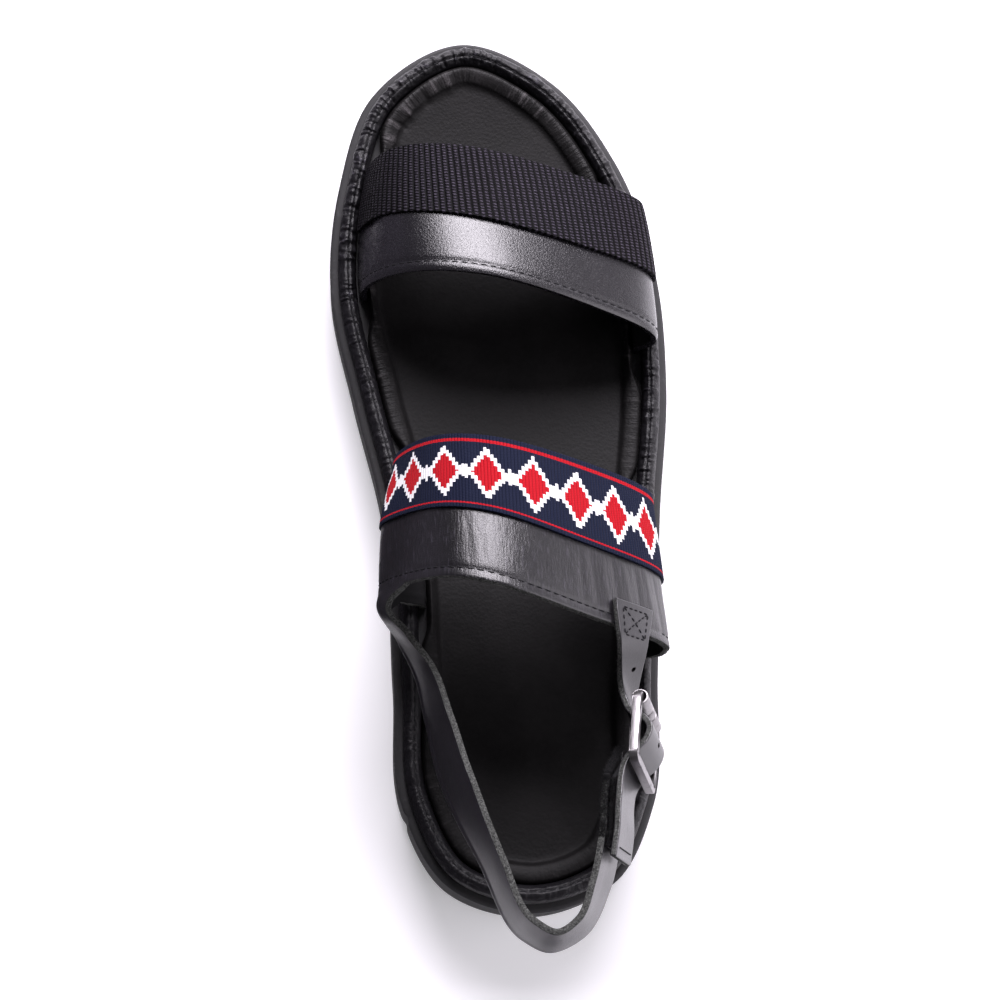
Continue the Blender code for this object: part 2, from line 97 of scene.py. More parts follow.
# Points along and across the sheets of the bands, steps across and along those of the straps,
# steps up, over and round the sole, and points that even distances are read from
TOE_COUNTS = (230, 56)
INSTEP_COUNTS = (300, 64)
WEBBING_COUNTS = (560, 44)
BRAID_COUNTS = (680, 40)
BUCKLE_STRAP_STEPS = (22, 150)
TAPE_STEPS = (24, 60)
HEEL_ROWS_ALONG = 240
OUTSOLE_SIDE_STEPS = 16
BED_SIDE_STEPS = 28
SOLE_STEPS = 56
RIM_STEPS = 32
SOLE_SIDES = 720
EDGE_SAMPLES = 2880
CURVE_SAMPLES = 2000
SEAM_SAMPLES = 2400

# Sides of the rubber and of the rim, going up and over: distance in from the edge,
# height column that the ring follows, and how far above it
OUTSOLE_SIDE_ROWS = (
    (TREAD_EDGE, "ground", 0.0),
    (0.0012, "ground", 0.0014),
    (0.0005, "ground", 0.0040),
    (0.0004, "rubber", -0.0032),
    (0.0000, "rubber", -0.0022),
    (0.0002, "rubber", -0.0008),
    (0.0012, "rubber", 0.0),
)
RIM_ROWS = (
    (LEDGE + 0.0004, "rubber", GAP),
    (LEDGE, "rubber", 0.0010),
    (LEDGE, "rim", -0.0034),
    (LEDGE + 0.0008, "rim", -0.0014),
    (LEDGE + 0.0022, "rim", -0.0003),
    (LEDGE + 0.0036, "rim", -0.0003),
    (SLOT_OUTER - 0.0008, "rim", -0.0016),
    (SLOT_OUTER, "rim", -0.0034),
    (SLOT_OUTER, "rubber", GAP),
)

# Foot of the footbed's lip: distance in from the edge and height above the bed
DISH_ROWS = (
    (0.0158, 0.00016),
    (0.0168, 0.00003),
    (0.0176, 0.0),
)

# Edge of the sole seen from above, clockwise from the back of the heel, as x, y
EDGE_ROWS = (
    (0.0060, 0.0000),
    (-0.0220, 0.0085),
    (-0.0360, 0.0335),
    (-0.0382, 0.0720),
    (-0.0414, 0.1275),
    (-0.0508, 0.1690),
    (-0.0578, 0.2040),
    (-0.0549, 0.2415),
    (-0.0440, 0.2728),
    (-0.0135, 0.2913),
    (0.0170, 0.2784),
    (0.0387, 0.2500),
    (0.0507, 0.2120),
    (0.0529, 0.1720),
    (0.0489, 0.1275),
    (0.0462, 0.0740),
    (0.0434, 0.0330),
    (0.0315, 0.0100),
)
TOE_ROW = 9

# Heights along the sole: underside, top of the rubber, top of the rim, footbed
HEIGHT_COLUMNS = ("share", "ground", "rubber", "rim", "bed")
HEIGHT_ROWS = (
    (0.00, 0.0010, 0.0265, 0.0328, 0.0290),
    (0.08, 0.0000, 0.0262, 0.0325, 0.0280),
    (0.25, 0.0000, 0.0255, 0.0318, 0.0274),
    (0.42, 0.0035, 0.0232, 0.0294, 0.0252),
    (0.58, 0.0000, 0.0198, 0.0260, 0.0217),
    (0.78, 0.0000, 0.0182, 0.0242, 0.0200),
    (0.90, 0.0030, 0.0196, 0.0254, 0.0214),
    (1.00, 0.0085, 0.0232, 0.0288, 0.0252),
)

# Bands over the foot, from front edge to back edge: places along the foot where they
# enter the inner and the outer slot, how far they bow towards the toe between them,
# the ridge, and how far each side swells out over the rim
BAND_COLUMNS = ("share", "inner_y", "outer_y", "bow", "ridge_x", "ridge_z", "inner_swell", "outer_swell")
TOE_BAND_ROWS = (
    (0.0, 0.2450, 0.2300, 0.0030, -0.0190, 0.0510, -0.0010, 0.0106),
    (0.5, 0.2228, 0.2050, 0.0005, -0.0170, 0.0575, -0.0015, 0.0084),
    (1.0, 0.2005, 0.1835, 0.0032, -0.0150, 0.0622, 0.0010, 0.0080),
)
INSTEP_BAND_ROWS = (
    (0.0, 0.1415, 0.1292, 0.0012, -0.0160, 0.0770, 0.0030, 0.0065),
    (0.53, 0.1182, 0.1008, 0.0000, -0.0160, 0.0850, 0.0120, 0.0105),
    (1.0, 0.0965, 0.0785, -0.0006, -0.0160, 0.0903, 0.0145, 0.0132),
)

# Bands: shares of their width where the strips end, curve of their sides, where the strips and the
# bands themselves end in the slots, and how far the bend at the ridge is spread
SEAM_SHARE_TOE = 0.5
SEAM_SHARE_INSTEP = 0.53
INNER_SHOULDER = 0.95
OUTER_SHOULDER = 1.15
SWELL_PEAK = 6.75
STRIP_END = 0.003
SLOT_PLACE = 0.03
RIDGE_SPREAD = 0.022
RIDGE_REACH = 0.030

# Heel strap behind the neck: lower edge x, y, z and upper edge x, y, z of each section
HEEL_STRAP_ROWS = (
    (-0.0362, 0.0840, 0.0375, -0.0345, 0.0835, 0.0530),
    (-0.0310, 0.0725, 0.0410, -0.0276, 0.0725, 0.0585),
    (-0.0280, 0.0570, 0.0460, -0.0225, 0.0560, 0.0665),
    (-0.0238, 0.0370, 0.0520, -0.0168, 0.0365, 0.0735),
    (-0.0125, 0.0125, 0.0570, -0.0085, 0.0120, 0.0790),
    (-0.0010, -0.0098, 0.0600, 0.0003, -0.0065, 0.0820),
    (0.0063, -0.0135, 0.0608, 0.0063, -0.0100, 0.0830),
    (0.0160, -0.0095, 0.0606, 0.0128, -0.0062, 0.0820),
    (0.0240, 0.0040, 0.0600, 0.0178, 0.0055, 0.0800),
    (0.0275, 0.0180, 0.0580, 0.0210, 0.0190, 0.0770),
    (0.0284, 0.0320, 0.0552, 0.0227, 0.0330, 0.0735),
    (0.0300, 0.0480, 0.0520, 0.0255, 0.0490, 0.0700),
)

# Neck of the heel strap behind the inner corner of the instep band, and the tab sewn on its outer
# side: share of the band's width, places of lower and upper edge
NECK_ROWS = (
    (0.92, 0.030, 0.205),
    (1.00, 0.030, 0.205),
    (1.07, 0.048, 0.165),
)
TAB_ROWS = (
    (0.84, 0.820, 0.753),
    (0.92, 0.815, 0.753),
    (1.00, 0.809, 0.754),
)

# Heel strap: rows over which its neck eases into the band, its crowned face and flared lower edge and
# where they fade out at both ends, the slant of its end as a share of it, and rows of hooks there
NECK_WELD = 18
STRAP_CROWN = 0.0005
STRAP_FLARE = 0.0006
STRAP_FLARE_WIDTH = 0.0016
CROWN_START = (0.012, 0.02)
CROWN_END = (0.060, 0.03)
STRAP_SLANT = 0.062
HOOKED_ROWS = 4

# Buckle strap: its run behind the sewn tab, its way through the buckle as distance along the
# buckle and lift from its plane, and its lap on the heel strap as stations of the heel strap's rows
BUCKLE_STRAP_WIDTH = 0.0172
TAB_RUN_OUT = 0.0035
THREAD_ROWS = (
    (-0.0106, -0.0048),
    (-0.0071, -0.0031),
    (-0.0048, 0.0008),
    (-0.0012, 0.0034),
    (0.0028, 0.0026),
    (0.0056, 0.0004),
    (0.0080, -0.0022),
    (0.0106, -0.0036),
)
LAP_STATIONS = (9.75, 9.2, 8.55)

# Hook tape under that lap: its stations, and the inset of its edges and the slant of its end as shares
TAPE_STATIONS = (10.8, 10.3, 9.7, 9.1, 8.75)
TAPE_EDGE = 0.08
TAPE_SLANT = 0.30

# Buckle: its middle, its directions along the strap and down across it, its frame, and the sleeves
# rolled round the front bar with their open seam
BUCKLE_MIDDLE = (0.0362, 0.0478, 0.0622)
BUCKLE_RUN = (-0.125, -0.936, 0.330)
BUCKLE_DROP = (0.312, -0.352, -0.882)
BUCKLE_LENGTH = 0.0236
BUCKLE_WIDTH = 0.0256
BUCKLE_BAR = 0.0026
BUCKLE_CORNER = 0.0030
WINDOW_CORNER = BUCKLE_CORNER - BUCKLE_BAR / 1.3
BAR_EASE = BUCKLE_BAR * 0.24
ROLLER_WALL = 0.0006
ROLLER_EASE = ROLLER_WALL * 0.3
ROLLER_RADIUS = 0.0024
ROLLER_SEAM = radians(24)
EYE_WIDTH = 0.0036

# Creases of the leather: share of the way round the band from the inner slot, distances from the
# front edge where it begins and ends, lean towards the outer side over that run, half width, and
# height (below zero is a trough)
TOE_CREASES = (
    (0.13, 0.024, 0.046, 0.003, 0.0040, -0.00035),
    (0.20, 0.026, 0.046, 0.002, 0.0030, 0.00018),
    (0.88, 0.024, 0.044, -0.002, 0.0035, -0.00030),
    (0.94, 0.022, 0.044, -0.002, 0.0028, 0.00025),
)
INSTEP_CREASES = (
    (0.070, 0.024, 0.050, 0.004, 0.0030, -0.00045),
    (0.110, 0.026, 0.050, 0.003, 0.0024, 0.00025),
    (0.420, 0.029, 0.044, 0.001, 0.0012, -0.00012),
    (0.450, 0.028, 0.042, -0.001, 0.0010, -0.00010),
    (0.640, 0.030, 0.046, 0.001, 0.0012, -0.00014),
    (0.668, 0.028, 0.048, 0.002, 0.0013, -0.00020),
    (0.690, 0.029, 0.046, 0.001, 0.0011, 0.00014),
    (0.716, 0.027, 0.047, 0.002, 0.0013, -0.00022),
    (0.742, 0.028, 0.044, 0.002, 0.0012, 0.00016),
    (0.770, 0.027, 0.043, 0.001, 0.0013, -0.00024),
    (0.800, 0.026, 0.042, 0.002, 0.0013, 0.00020),
    (0.828, 0.027, 0.045, 0.002, 0.0013, -0.00028),
    (0.856, 0.026, 0.050, 0.002, 0.0013, 0.00024),
    (0.884, 0.026, 0.050, 0.001, 0.0013, -0.00032),
    (0.912, 0.026, 0.050, 0.001, 0.0014, 0.00026),
    (0.940, 0.025, 0.050, 0.001, 0.0015, -0.00034),
)

# Creases across the lip of the footbed: share of the way round from the back of the heel,
# half width as such a share, and height
LIP_CREASES = (
    (0.338, 0.0022, 0.00030),
    (0.349, 0.0018, -0.00045),
    (0.360, 0.0020, 0.00045),
    (0.371, 0.0016, -0.00050),
    (0.380, 0.0018, 0.00050),
    (0.391, 0.0020, -0.00045),
    (0.402, 0.0016, 0.00055),
    (0.412, 0.0018, -0.00050),
    (0.424, 0.0022, 0.00045),
    (0.437, 0.0018, -0.00040),
    (0.449, 0.0020, 0.00040),
    (0.463, 0.0022, -0.00035),
    (0.480, 0.0024, 0.00030),
    (0.640, 0.0022, 0.00030),
    (0.655, 0.0020, -0.00035),
)

# Lip of the footbed: way up its side to the creases, how far they reach and run out, their unevenness,
# the rows on either side that a ridge stands out from and by how much, and where the lip begins above
# the bed and is full
LIP_CREASE_PLACE = 0.0080
LIP_CREASE_REACH = 0.0032
LIP_CREASE_RUN_OUT = 0.002
LIP_UNEVEN = 0.00018
# The ridges that LIP_SPAN and LIP_RIDGE pick out get painted highlights in the footbed's look
LIP_SPAN = 7
LIP_RIDGE = 0.00022
LIP_FOOT = 0.0008
LIP_RISE = 0.0014

# How deep the rim's leather puckers, and how strongly its painted highlights show, by share of the way round
# from the back of the heel
PUCKER_ROWS = (
    (0.00, 0.25),
    (0.08, 0.30),
    (0.18, 0.35),
    (0.28, 0.55),
    (0.36, 1.00),
    (0.44, 1.00),
    (0.50, 0.95),
    (0.58, 0.75),
    (0.66, 0.90),
    (0.76, 0.80),
    (0.86, 0.55),
    (0.94, 0.35),
)

# Wrinkles across the rim's roll: how many, then the least and the most lean, half width, height
# (below zero is a trough) and shares of the way over the roll between which they run
PUCKERS = (
    (620, (-0.0030, 0.00035, -1.0, 0.14, 0.36), (0.0030, 0.00080, 0.8, 0.34, 0.62)),
    (150, (-0.0040, 0.00100, -1.0, 0.12, 0.40), (0.0040, 0.00240, 1.0, 0.30, 0.62)),
)
PUCKER_SEED = 7

# Rim: where its rings crowd, as shares of their number and of the way over the roll, the depth of its
# core below its top, the height above the core where the folds are full, the groove of its stitches,
# and its streaks and lumps as scale and seed
RIM_CROWD = ((0.0, 0.09, 0.84, 1.0), (0.0, 0.12, 0.64, 1.0))
RIM_CORE_DROP = 0.0034
RIM_SHOWN = 0.0012
RIM_GROOVE = (0.0007, 0.022)
RIM_STREAKS = (0.0011, 2.0)
RIM_LUMPS = (0.0042, 6.0)
RIM_SMALL_LUMPS = (0.0019, 4.0)

# Tread: distance between grooves, depth and length of their waves, bare margin, where it runs along the
# sole, and how far the grooves run out at the ends of that and at the margin
TREAD_PITCH = 0.0085
TREAD_WAVE = 0.0035
TREAD_WAVELENGTH = 0.034
TREAD_MARGIN = 0.007
TREAD_ZONES = ((0.006, 0.100), (0.152, 0.280))
TREAD_END = 0.002
TREAD_RUN_OUT = 0.0015

# Nick in the rubber on the inner side of the heel
SOLE_NICK = (-0.0340, 0.0300)
NICK_WIDTH = 0.0016
NICK_DEPTH = 0.0007

# Holes of the buckle strap as fractions along and across it
STRAP_HOLES = ((0.225, 0.42), (0.555, 0.45))
HOLE_RADIUS = 0.0008

# Seams: distance from the back edge of each band and the shares of the way round that are sewn, share
# of the way over the rim, and on the buckle strap the corners of the box, the row at the end, and how
# much closer their stitches are
TOE_STITCH_INSET = 0.0031
TOE_SEAMS = ((0.06, 0.94),)
INSTEP_STITCH_INSET = 0.0030
INSTEP_SEAMS = ((0.05, 0.72), (0.83, 0.95))
RIM_STITCH_SHARE = 0.43
BOX_SEAM = ((0.025, 0.16), (0.025, 0.84), (0.125, 0.84), (0.125, 0.16))
BOX_TIGHT = 0.65
END_SEAM = ((0.966, 0.12), (0.966, 0.88))
END_TIGHT = 0.55

# Unevenness of the leather: height, scale and seed
TOE_RIPPLE = (0.00012, 0.016, 3.0)
INSTEP_RIPPLE = (0.00018, 0.012, 5.0)
HEEL_RIPPLE = (0.00022, 0.014, 9.0)

# Dips along the back edge of the bands: distance from it, depth and half width
TOE_DIPS = (
    (TOE_STITCH_INSET, 0.00035, 0.0009),
    (0.0, 0.0005, 0.0009),
)
INSTEP_DIPS = ((INSTEP_STITCH_INSET, 0.00030, 0.0008),)

# Fibres of the cut edges and of the hook tape: sheet, the corners between which they stand, step into
# the sheet, how many, spread as a share of the wall, and reach
FIBRE_SEED = 3
FIBRE_WIDTH = 0.00012
FIBRE_STRAY = 0.55
FIBRE_SHORTEST = 0.3
FELT_ROWS = (
    ("band", ((0.0, 0.22), (0.0, 0.95)), (0.02, 0.0), 1500, 1.0, 0.0006),
    ("heel", ((0.16, 1.0), (0.97, 1.0)), (0.0, -0.02), 1500, 1.0, 0.0005),
    ("heel", ((0.16, 0.0), (0.97, 0.0)), (0.0, 0.02), 500, 1.0, 0.0004),
    ("strap", ((0.0, 1.0), (1.0, 1.0)), (0.0, -0.02), 1000, 1.0, 0.0006),
    ("strap", ((0.0, 0.0), (1.0, 0.0)), (0.0, 0.02), 500, 1.0, 0.0005),
    ("strap", ((0.0, 0.0), (0.0, 1.0)), (0.02, 0.0), 250, 1.0, 0.0006),
)
HOOK_ROWS = (
    ("tape", ((0.0, 1.0), (1.0, 1.0)), (0.0, -0.02), 1800, 3.0, 0.0018),
    ("heel", ((0.0, 1.0), (0.15, 1.0)), (0.0, -0.02), 1600, 1.3, 0.0015),
    ("heel", ((0.0, 0.0), (0.0, 1.0)), (0.01, 0.0), 1400, 1.3, 0.0018),
)

# Camera of the photograph, and the floor
CAMERA_EYE = (-0.06135, -0.20278, 0.83640)
CAMERA_AIM = (0.00100, 0.00000, 0.00000)
CAMERA_RIGHT = (1.0, 0.0, 0.0)
CAMERA_LENS = 93.4
FLOOR_SIZE = 6.0

# Cards that only the reflections see: name, middle, size, turn and tone
CARDS = (
    ("dark_card", (-0.200, 0.0, 0.031), (0.29, 0.50, 0.06), radians(6.5), (0.160, 0.150, 0.176)),
    ("grey_card", (-0.050, -0.32, 0.021), (0.30, 0.28, 0.04), 0.0, (0.110, 0.103, 0.121)),
)

# Lights: name, place, aim, size and watts; and the room's light, from its dark side to its bright side
LIGHTS = (
    ("front_softbox", (0.06, 0.88, 0.84), (0.0, 0.0, 0.03), (0.95, 0.65), 34.0),
    ("side_softbox", (1.10, -0.30, 0.60), (0.1, -0.05, 0.0), (1.4, 0.8), 9.0),
)
LIGHT_TONE = (0.975, 0.925, 1.0)
ROOM_REACH = (-0.1, 1.0)
ROOM_LIGHT = (0.10, 0.48)


def length(name, description, default):
    return FloatProperty(
        name=name, description=description, default=default, min=0.0, unit="LENGTH", precision=5
    )


def colour(name, description, default):
    return FloatVectorProperty(
        name=name, description=description, default=default, size=3, min=0.0, max=1.0, subtype="COLOR"
    )


class SandalSizes(bpy.types.PropertyGroup):
    """Sizes of the details that the looks add to the solids."""

    strap_wall: length("Strap wall", "Thickness of the leather straps", STRAP_WALL)
    webbing_wall: length("Webbing wall", "Thickness of the webbing on the toe band", 0.0011)
    webbing_rib: length("Webbing rib", "Distance between the ribs of the webbing", 0.0021)
    webbing_dash: length("Webbing dash", "Length of one thread float on a rib", 0.0011)
    webbing_relief: length("Webbing relief", "Height of the ribs of the webbing", 0.00030)
    braid_wall: length("Braid wall", "Thickness of the braid on the instep band", 0.0008)
    braid_rib: length("Braid rib", "Distance between the ribs of the braid", 0.0011)
    braid_relief: length("Braid relief", "Height of the ribs of the braid", 0.00013)
    lozenge_length: length("Lozenge length", "Distance between the lozenges woven in the braid", 0.0150)
    stitch_pitch: length("Stitch pitch", "Distance from one stitch to the next", 0.0030)
    stitch_length: length("Stitch length", "Length of the thread that shows in one stitch", 0.0023)
    stitch_width: length("Stitch width", "Width of the thread", 0.0006)
    pucker_depth: length("Pucker depth", "Height of the wrinkles of the rim's leather", 0.00065)
    tread_depth: length("Tread depth", "Depth of the grooves under the sole", 0.0012)


class SandalColours(bpy.types.PropertyGroup):
    """Colours of the materials."""

    leather: colour("Leather", "Black leather of the straps", (0.0062, 0.0056, 0.0075))
    felt: colour("Cut edge", "Fuzzy cut edge of the leather", (0.092, 0.095, 0.090))
    lining: colour("Lining", "Inner face of the straps", (0.006, 0.006, 0.0065))
    rim: colour("Rim leather", "Puckered leather of the rim", (0.0060, 0.0056, 0.0070))
    insole: colour("Insole leather", "Leather of the footbed", (0.0060, 0.0056, 0.0058))
    rubber: colour("Rubber", "Rubber of the sole", (0.030, 0.030, 0.031))
    webbing: colour("Webbing", "Threads of the webbing", (0.019, 0.0165, 0.0225))
    navy: colour("Navy", "Ground of the braid", (0.0055, 0.0085, 0.0270))
    red: colour("Red", "Lozenges of the braid", (0.430, 0.0040, 0.0120))
    white: colour("White", "Outlines in the braid", (0.820, 0.820, 0.830))
    hook: colour("Hook tape", "Hook-and-loop tape", (0.007, 0.007, 0.008))
    metal: colour("Metal", "Brushed metal of the buckle", (0.275, 0.265, 0.270))
    thread: colour("Thread", "Sewing thread", (0.008, 0.008, 0.009))
    floor: colour("Floor", "Plain pale floor", (0.860, 0.855, 0.875))


def sizes():
    return bpy.context.scene.sandal_sizes


def colours():
    return bpy.context.scene.sandal_colours


# Shape of the sole, the bands and the straps, as in the part's source


def smooth(stations, values, at, period=None):
    """Cubic curve through rows of values, read at places between the stations."""
    stations = np.asarray(stations, float)
    values = np.asarray(values, float)
    if period:
        stations = np.concatenate([stations[-2:] - period, stations, stations[:2] + period])
        values = np.concatenate([values[-2:], values, values[:2]])
    slopes = np.gradient(values, stations, axis=0)
    at = np.atleast_1d(np.asarray(at, float))
    left = np.clip(np.searchsorted(stations, at, side="right") - 1, 0, len(stations) - 2)
    run = stations[left + 1] - stations[left]
    part = (at - stations[left]) / run
    if values.ndim > 1:
        run = run[:, None]
        part = part[:, None]
    return (
        values[left] * (2 * part**3 - 3 * part**2 + 1)
        + slopes[left] * run * (part**3 - 2 * part**2 + part)
        + values[left + 1] * (3 * part**2 - 2 * part**3)
        + slopes[left + 1] * run * (part**3 - part**2)
    )


def sole_edge():
    """Even points round the edge of the sole, their inward normals, the toe's index and the way round."""
    rows = np.array(EDGE_ROWS)
    steps = np.linalg.norm(np.roll(rows, -1, axis=0) - rows, axis=1)
    stations = np.concatenate([[0.0], np.cumsum(steps)])
    around = np.linspace(0.0, stations[-1], EDGE_SAMPLES, endpoint=False)
    points = smooth(stations[:-1], rows, around, period=stations[-1])
    ahead = np.roll(points, -1, axis=0) - np.roll(points, 1, axis=0)
    ahead /= np.linalg.norm(ahead, axis=1)[:, None]
    inward = np.stack([ahead[:, 1], -ahead[:, 0]], axis=1)
    return points, inward, int(round(EDGE_SAMPLES * stations[TOE_ROW] / stations[-1])), stations[-1]


EDGE, INWARD, TOE_INDEX, EDGE_LENGTH = sole_edge()


def height(column, y):
    rows = np.array(HEIGHT_ROWS)
    share = np.clip(np.asarray(y, float) / SOLE_LENGTH, 0.0, 1.0)
    made = smooth(rows[:, 0], rows[:, HEIGHT_COLUMNS.index(column)], share.ravel())
    return np.maximum(made, 0.0).reshape(share.shape)


def edge_x(side, y, inset):
    """Across-foot place of the inset edge at y, on the inner (-1) or outer (+1) side."""
    curve = EDGE + INWARD * inset
    half = curve[: TOE_INDEX + 1] if side < 0 else np.concatenate([curve[TOE_INDEX:], curve[:1]])[::-1]
    return np.interp(y, half[:, 1], half[:, 0])


def edge_ring(inset, count):
    """Plan points of the edge moved in by one distance or by one for each side of the ring."""
    pick = np.arange(count) * (EDGE_SAMPLES // count)
    inset = np.broadcast_to(inset, count)
    return EDGE[pick] + INWARD[pick] * inset[:, None]


def raised(ring, column, lift=0.0):
    return np.column_stack([ring, height(column, ring[:, 1]) + lift])


def band_line(rows, share):
    """Section of a band at a share of its width, as named values."""
    table = np.array(rows)
    values = smooth(table[:, 0], table[:, 1:], share)[0]
    return dict(zip(BAND_COLUMNS[1:], values))


def half_arch(line, side, angles):
    """Points from the slot (angle 0) up to the ridge (a right angle) on one side."""
    inner_x = edge_x(-1, line["inner_y"], SLOT_MIDDLE)
    outer_x = edge_x(1, line["outer_y"], SLOT_MIDDLE)
    base_x, base_y, swell, shoulder = (
        (inner_x, line["inner_y"], line["inner_swell"], INNER_SHOULDER)
        if side < 0
        else (outer_x, line["outer_y"], line["outer_swell"], OUTER_SHOULDER)
    )
    base_z = height("rim", base_y) - MOUTH_DROP
    climb = np.sin(angles) ** shoulder
    away = np.cos(angles) ** shoulder
    x = line["ridge_x"] + (base_x - line["ridge_x"]) * away
    across = (x - inner_x) / (outer_x - inner_x)
    y = line["inner_y"] + (line["outer_y"] - line["inner_y"]) * across
    y += line["bow"] * 4 * across * (1 - across)
    z = base_z + (line["ridge_z"] - base_z) * climb
    bulge = SWELL_PEAK * climb * (1 - climb) ** 2 * swell
    return np.column_stack([x + side * bulge, y, z])


def band_curve(rows, share, places):
    """Points of a band from slot to slot: inner mouth at 0, ridge at 0.5, outer mouth at 1."""
    line = band_line(rows, share)
    places = np.asarray(places, float)
    angles = pi / 2 * (1 - np.abs(2 * np.clip(places, 0.0, 1.0) - 1))
    points = np.where((places < 0.5)[:, None], half_arch(line, -1, angles), half_arch(line, 1, angles))
    base_y = np.where(places < 0.5, line["inner_y"], line["outer_y"])
    depth = height("rim", base_y) - MOUTH_DROP - height("rubber", base_y) - GAP
    over = np.maximum(np.maximum(-places, places - 1), 0.0) / SLOT_PLACE
    points[:, 2] -= over * depth
    return points


def band_point(rows, place, share, lift):
    """Point on a band, lifted from its middle surface."""
    step = 0.002
    here, ahead, behind = band_curve(rows, share, [place, place + step, place - step])
    beside = (min(share + step, 1.0), max(share - step, 0.0))
    rear, front = (band_curve(rows, at, [place])[0] for at in beside)
    outward = np.cross(rear - front, ahead - behind)
    return here + outward * lift / np.linalg.norm(outward)


def flat_section(low, top):
    """Straight section of a strap: lower edge, middle and upper edge."""
    low = np.asarray(low, float)
    top = np.asarray(top, float)
    return np.array([low, (low + top) / 2, top])


def strap_grid(sections, steps_across, steps_along, skip=0):
    """Even grid through sections given as lower edge, middle and upper edge, from the skipped one on."""
    sections = np.asarray(sections)
    lengths = np.linalg.norm(np.diff(sections[:, 1], axis=0), axis=1)
    stations = np.concatenate([[0.0], np.cumsum(lengths)])
    even = np.linspace(stations[skip], stations[-1], steps_along + 1)
    rows = smooth(stations, sections.reshape(-1, 9), even).reshape(-1, 1, 3, 3)
    across = np.linspace(0.0, 1.0, steps_across + 1)[:, None]
    low_part = (1 - across) * (1 - 2 * across)
    middle_part = 4 * across * (1 - across)
    top_part = across * (2 * across - 1)
    return rows[:, :, 0] * low_part + rows[:, :, 1] * middle_part + rows[:, :, 2] * top_part


def sewn_sections(rows, lifts):
    """Sections of a strap that lies on the instep band or goes on from it, following its curve."""
    made = []
    for (share, low, top), lift in zip(rows, lifts):
        places = (low, (low + top) / 2, top)
        made.append(np.array([band_point(INSTEP_BAND_ROWS, place, share, lift) for place in places]))
    return made


def buckle_axes():
    """Matrix of the buckle: X along the strap to the back, Y down across it, Z outwards."""
    run = Vector(BUCKLE_RUN).normalized()
    drop = Vector(BUCKLE_DROP)
    drop = (drop - run * drop.dot(run)).normalized()
    turn = Matrix((run, drop, run.cross(drop))).transposed().to_4x4()
    return Matrix.Translation(BUCKLE_MIDDLE) @ turn


def threaded_section(along, lift):
    """Section of the buckle strap at a place along the buckle, lifted from the frame's plane."""
    axes = buckle_axes()
    half = BUCKLE_STRAP_WIDTH / 2
    return flat_section(axes @ Vector((along, half, lift)), axes @ Vector((along, -half, lift)))


def lapped_section(station, lift, edge=0.0):
    """Section on the outer face of the heel strap, at a station of its rows."""
    rows = np.array(HEEL_STRAP_ROWS)
    before, here, after = smooth(np.arange(len(rows)), rows, [station - 0.1, station, station + 0.1])
    along = (after - before)[:3] + (after - before)[3:]
    rise = here[3:] - here[:3]
    outward = np.cross(along, rise)
    outward *= lift / np.linalg.norm(outward)
    return flat_section(here[:3] + rise * edge + outward, here[3:] - rise * edge + outward)


# Sheets, as rows of points whose normals point outwards


def run_of(points):
    """Distance along a row of points."""
    return np.concatenate([[0.0], np.cumsum(np.linalg.norm(np.diff(points, axis=0), axis=1))])


def outward_of(grid):
    """Unit normals of a grid of points."""
    made = np.cross(np.gradient(grid, axis=1), np.gradient(grid, axis=0))
    return made / np.linalg.norm(made, axis=2, keepdims=True)


def even_places(rows, share, start, end, count):
    """Places at even distances along a band, and those distances."""
    fine = np.linspace(start, end, CURVE_SAMPLES)
    run = run_of(band_curve(rows, share, fine))
    even = np.linspace(0.0, run[-1], count)
    return np.interp(even, run, fine), even


def rounded_ridge(grid, along, ridge):
    """Grid of a band with the bend at its ridge spread over the leather beside it."""
    step = along[1] - along[0]
    reach = int(3 * RIDGE_SPREAD / step)
    weights = groove(np.arange(-reach, reach + 1) * step, RIDGE_SPREAD)
    weights /= weights.sum()
    padded = np.pad(grid, ((0, 0), (reach, reach), (0, 0)), mode="edge")
    spread = sum(weight * padded[:, i : i + grid.shape[1]] for i, weight in enumerate(weights))
    near = groove(along - ridge, RIDGE_REACH)[None, :, None]
    peak = (grid - spread)[:, np.argmin(np.abs(along - ridge))][:, None]
    return grid + (spread - grid) * near + peak * near


def band_sheet(rows, share_range, place_range, counts):
    """Grid of a band from its back edge to its front edge, and the metres along and across it."""
    shares = np.linspace(share_range[1], share_range[0], counts[1])
    places, along = even_places(rows, sum(share_range) / 2, *place_range, counts[0])
    grid = np.array([band_curve(rows, share, places) for share in shares])
    grid = rounded_ridge(grid, along, np.interp(0.5, places, along))
    ridge = run_of(np.array([band_curve(rows, share, [0.5])[0] for share in shares]))
    return grid, np.stack(np.meshgrid(along, ridge[-1] - ridge), axis=2)


def strap_metres(grid):
    """Metres across (first) and along (second) a strap's grid, for its UV map."""
    along = run_of(grid[:, grid.shape[1] // 2])
    across = run_of(grid[grid.shape[0] // 2])
    return np.stack(np.meshgrid(across, along), axis=2)


def creased(metres, rows):
    """Soft troughs and ridges of a table of creases, added up over a sheet."""
    run = metres[:, :, 0]
    across = metres[:, :, 1]
    whole = run.max()
    total = np.zeros(run.shape)
    for share, start, end, lean, width, rise in rows:
        part = (across - start) / (end - start)
        line = share * whole + lean * (part - 0.5)
        fade = np.clip(1.2 - np.abs(2 * part - 1), 0.0, 0.4) / 0.4
        total += rise * fade * groove(run - line, width)
    return total


def groove(distance, width):
    """One at no distance, falling off smoothly to either side."""
    return np.exp(-((distance / width) ** 2))


def ripple(metres, scale, seed):
    """Smooth noise over a sheet, between about -1 and 1."""
    flat = metres.reshape(-1, 2) / scale
    made = np.array([noise.noise(Vector((along, across, seed))) for along, across in flat])
    return made.reshape(metres.shape[:2])


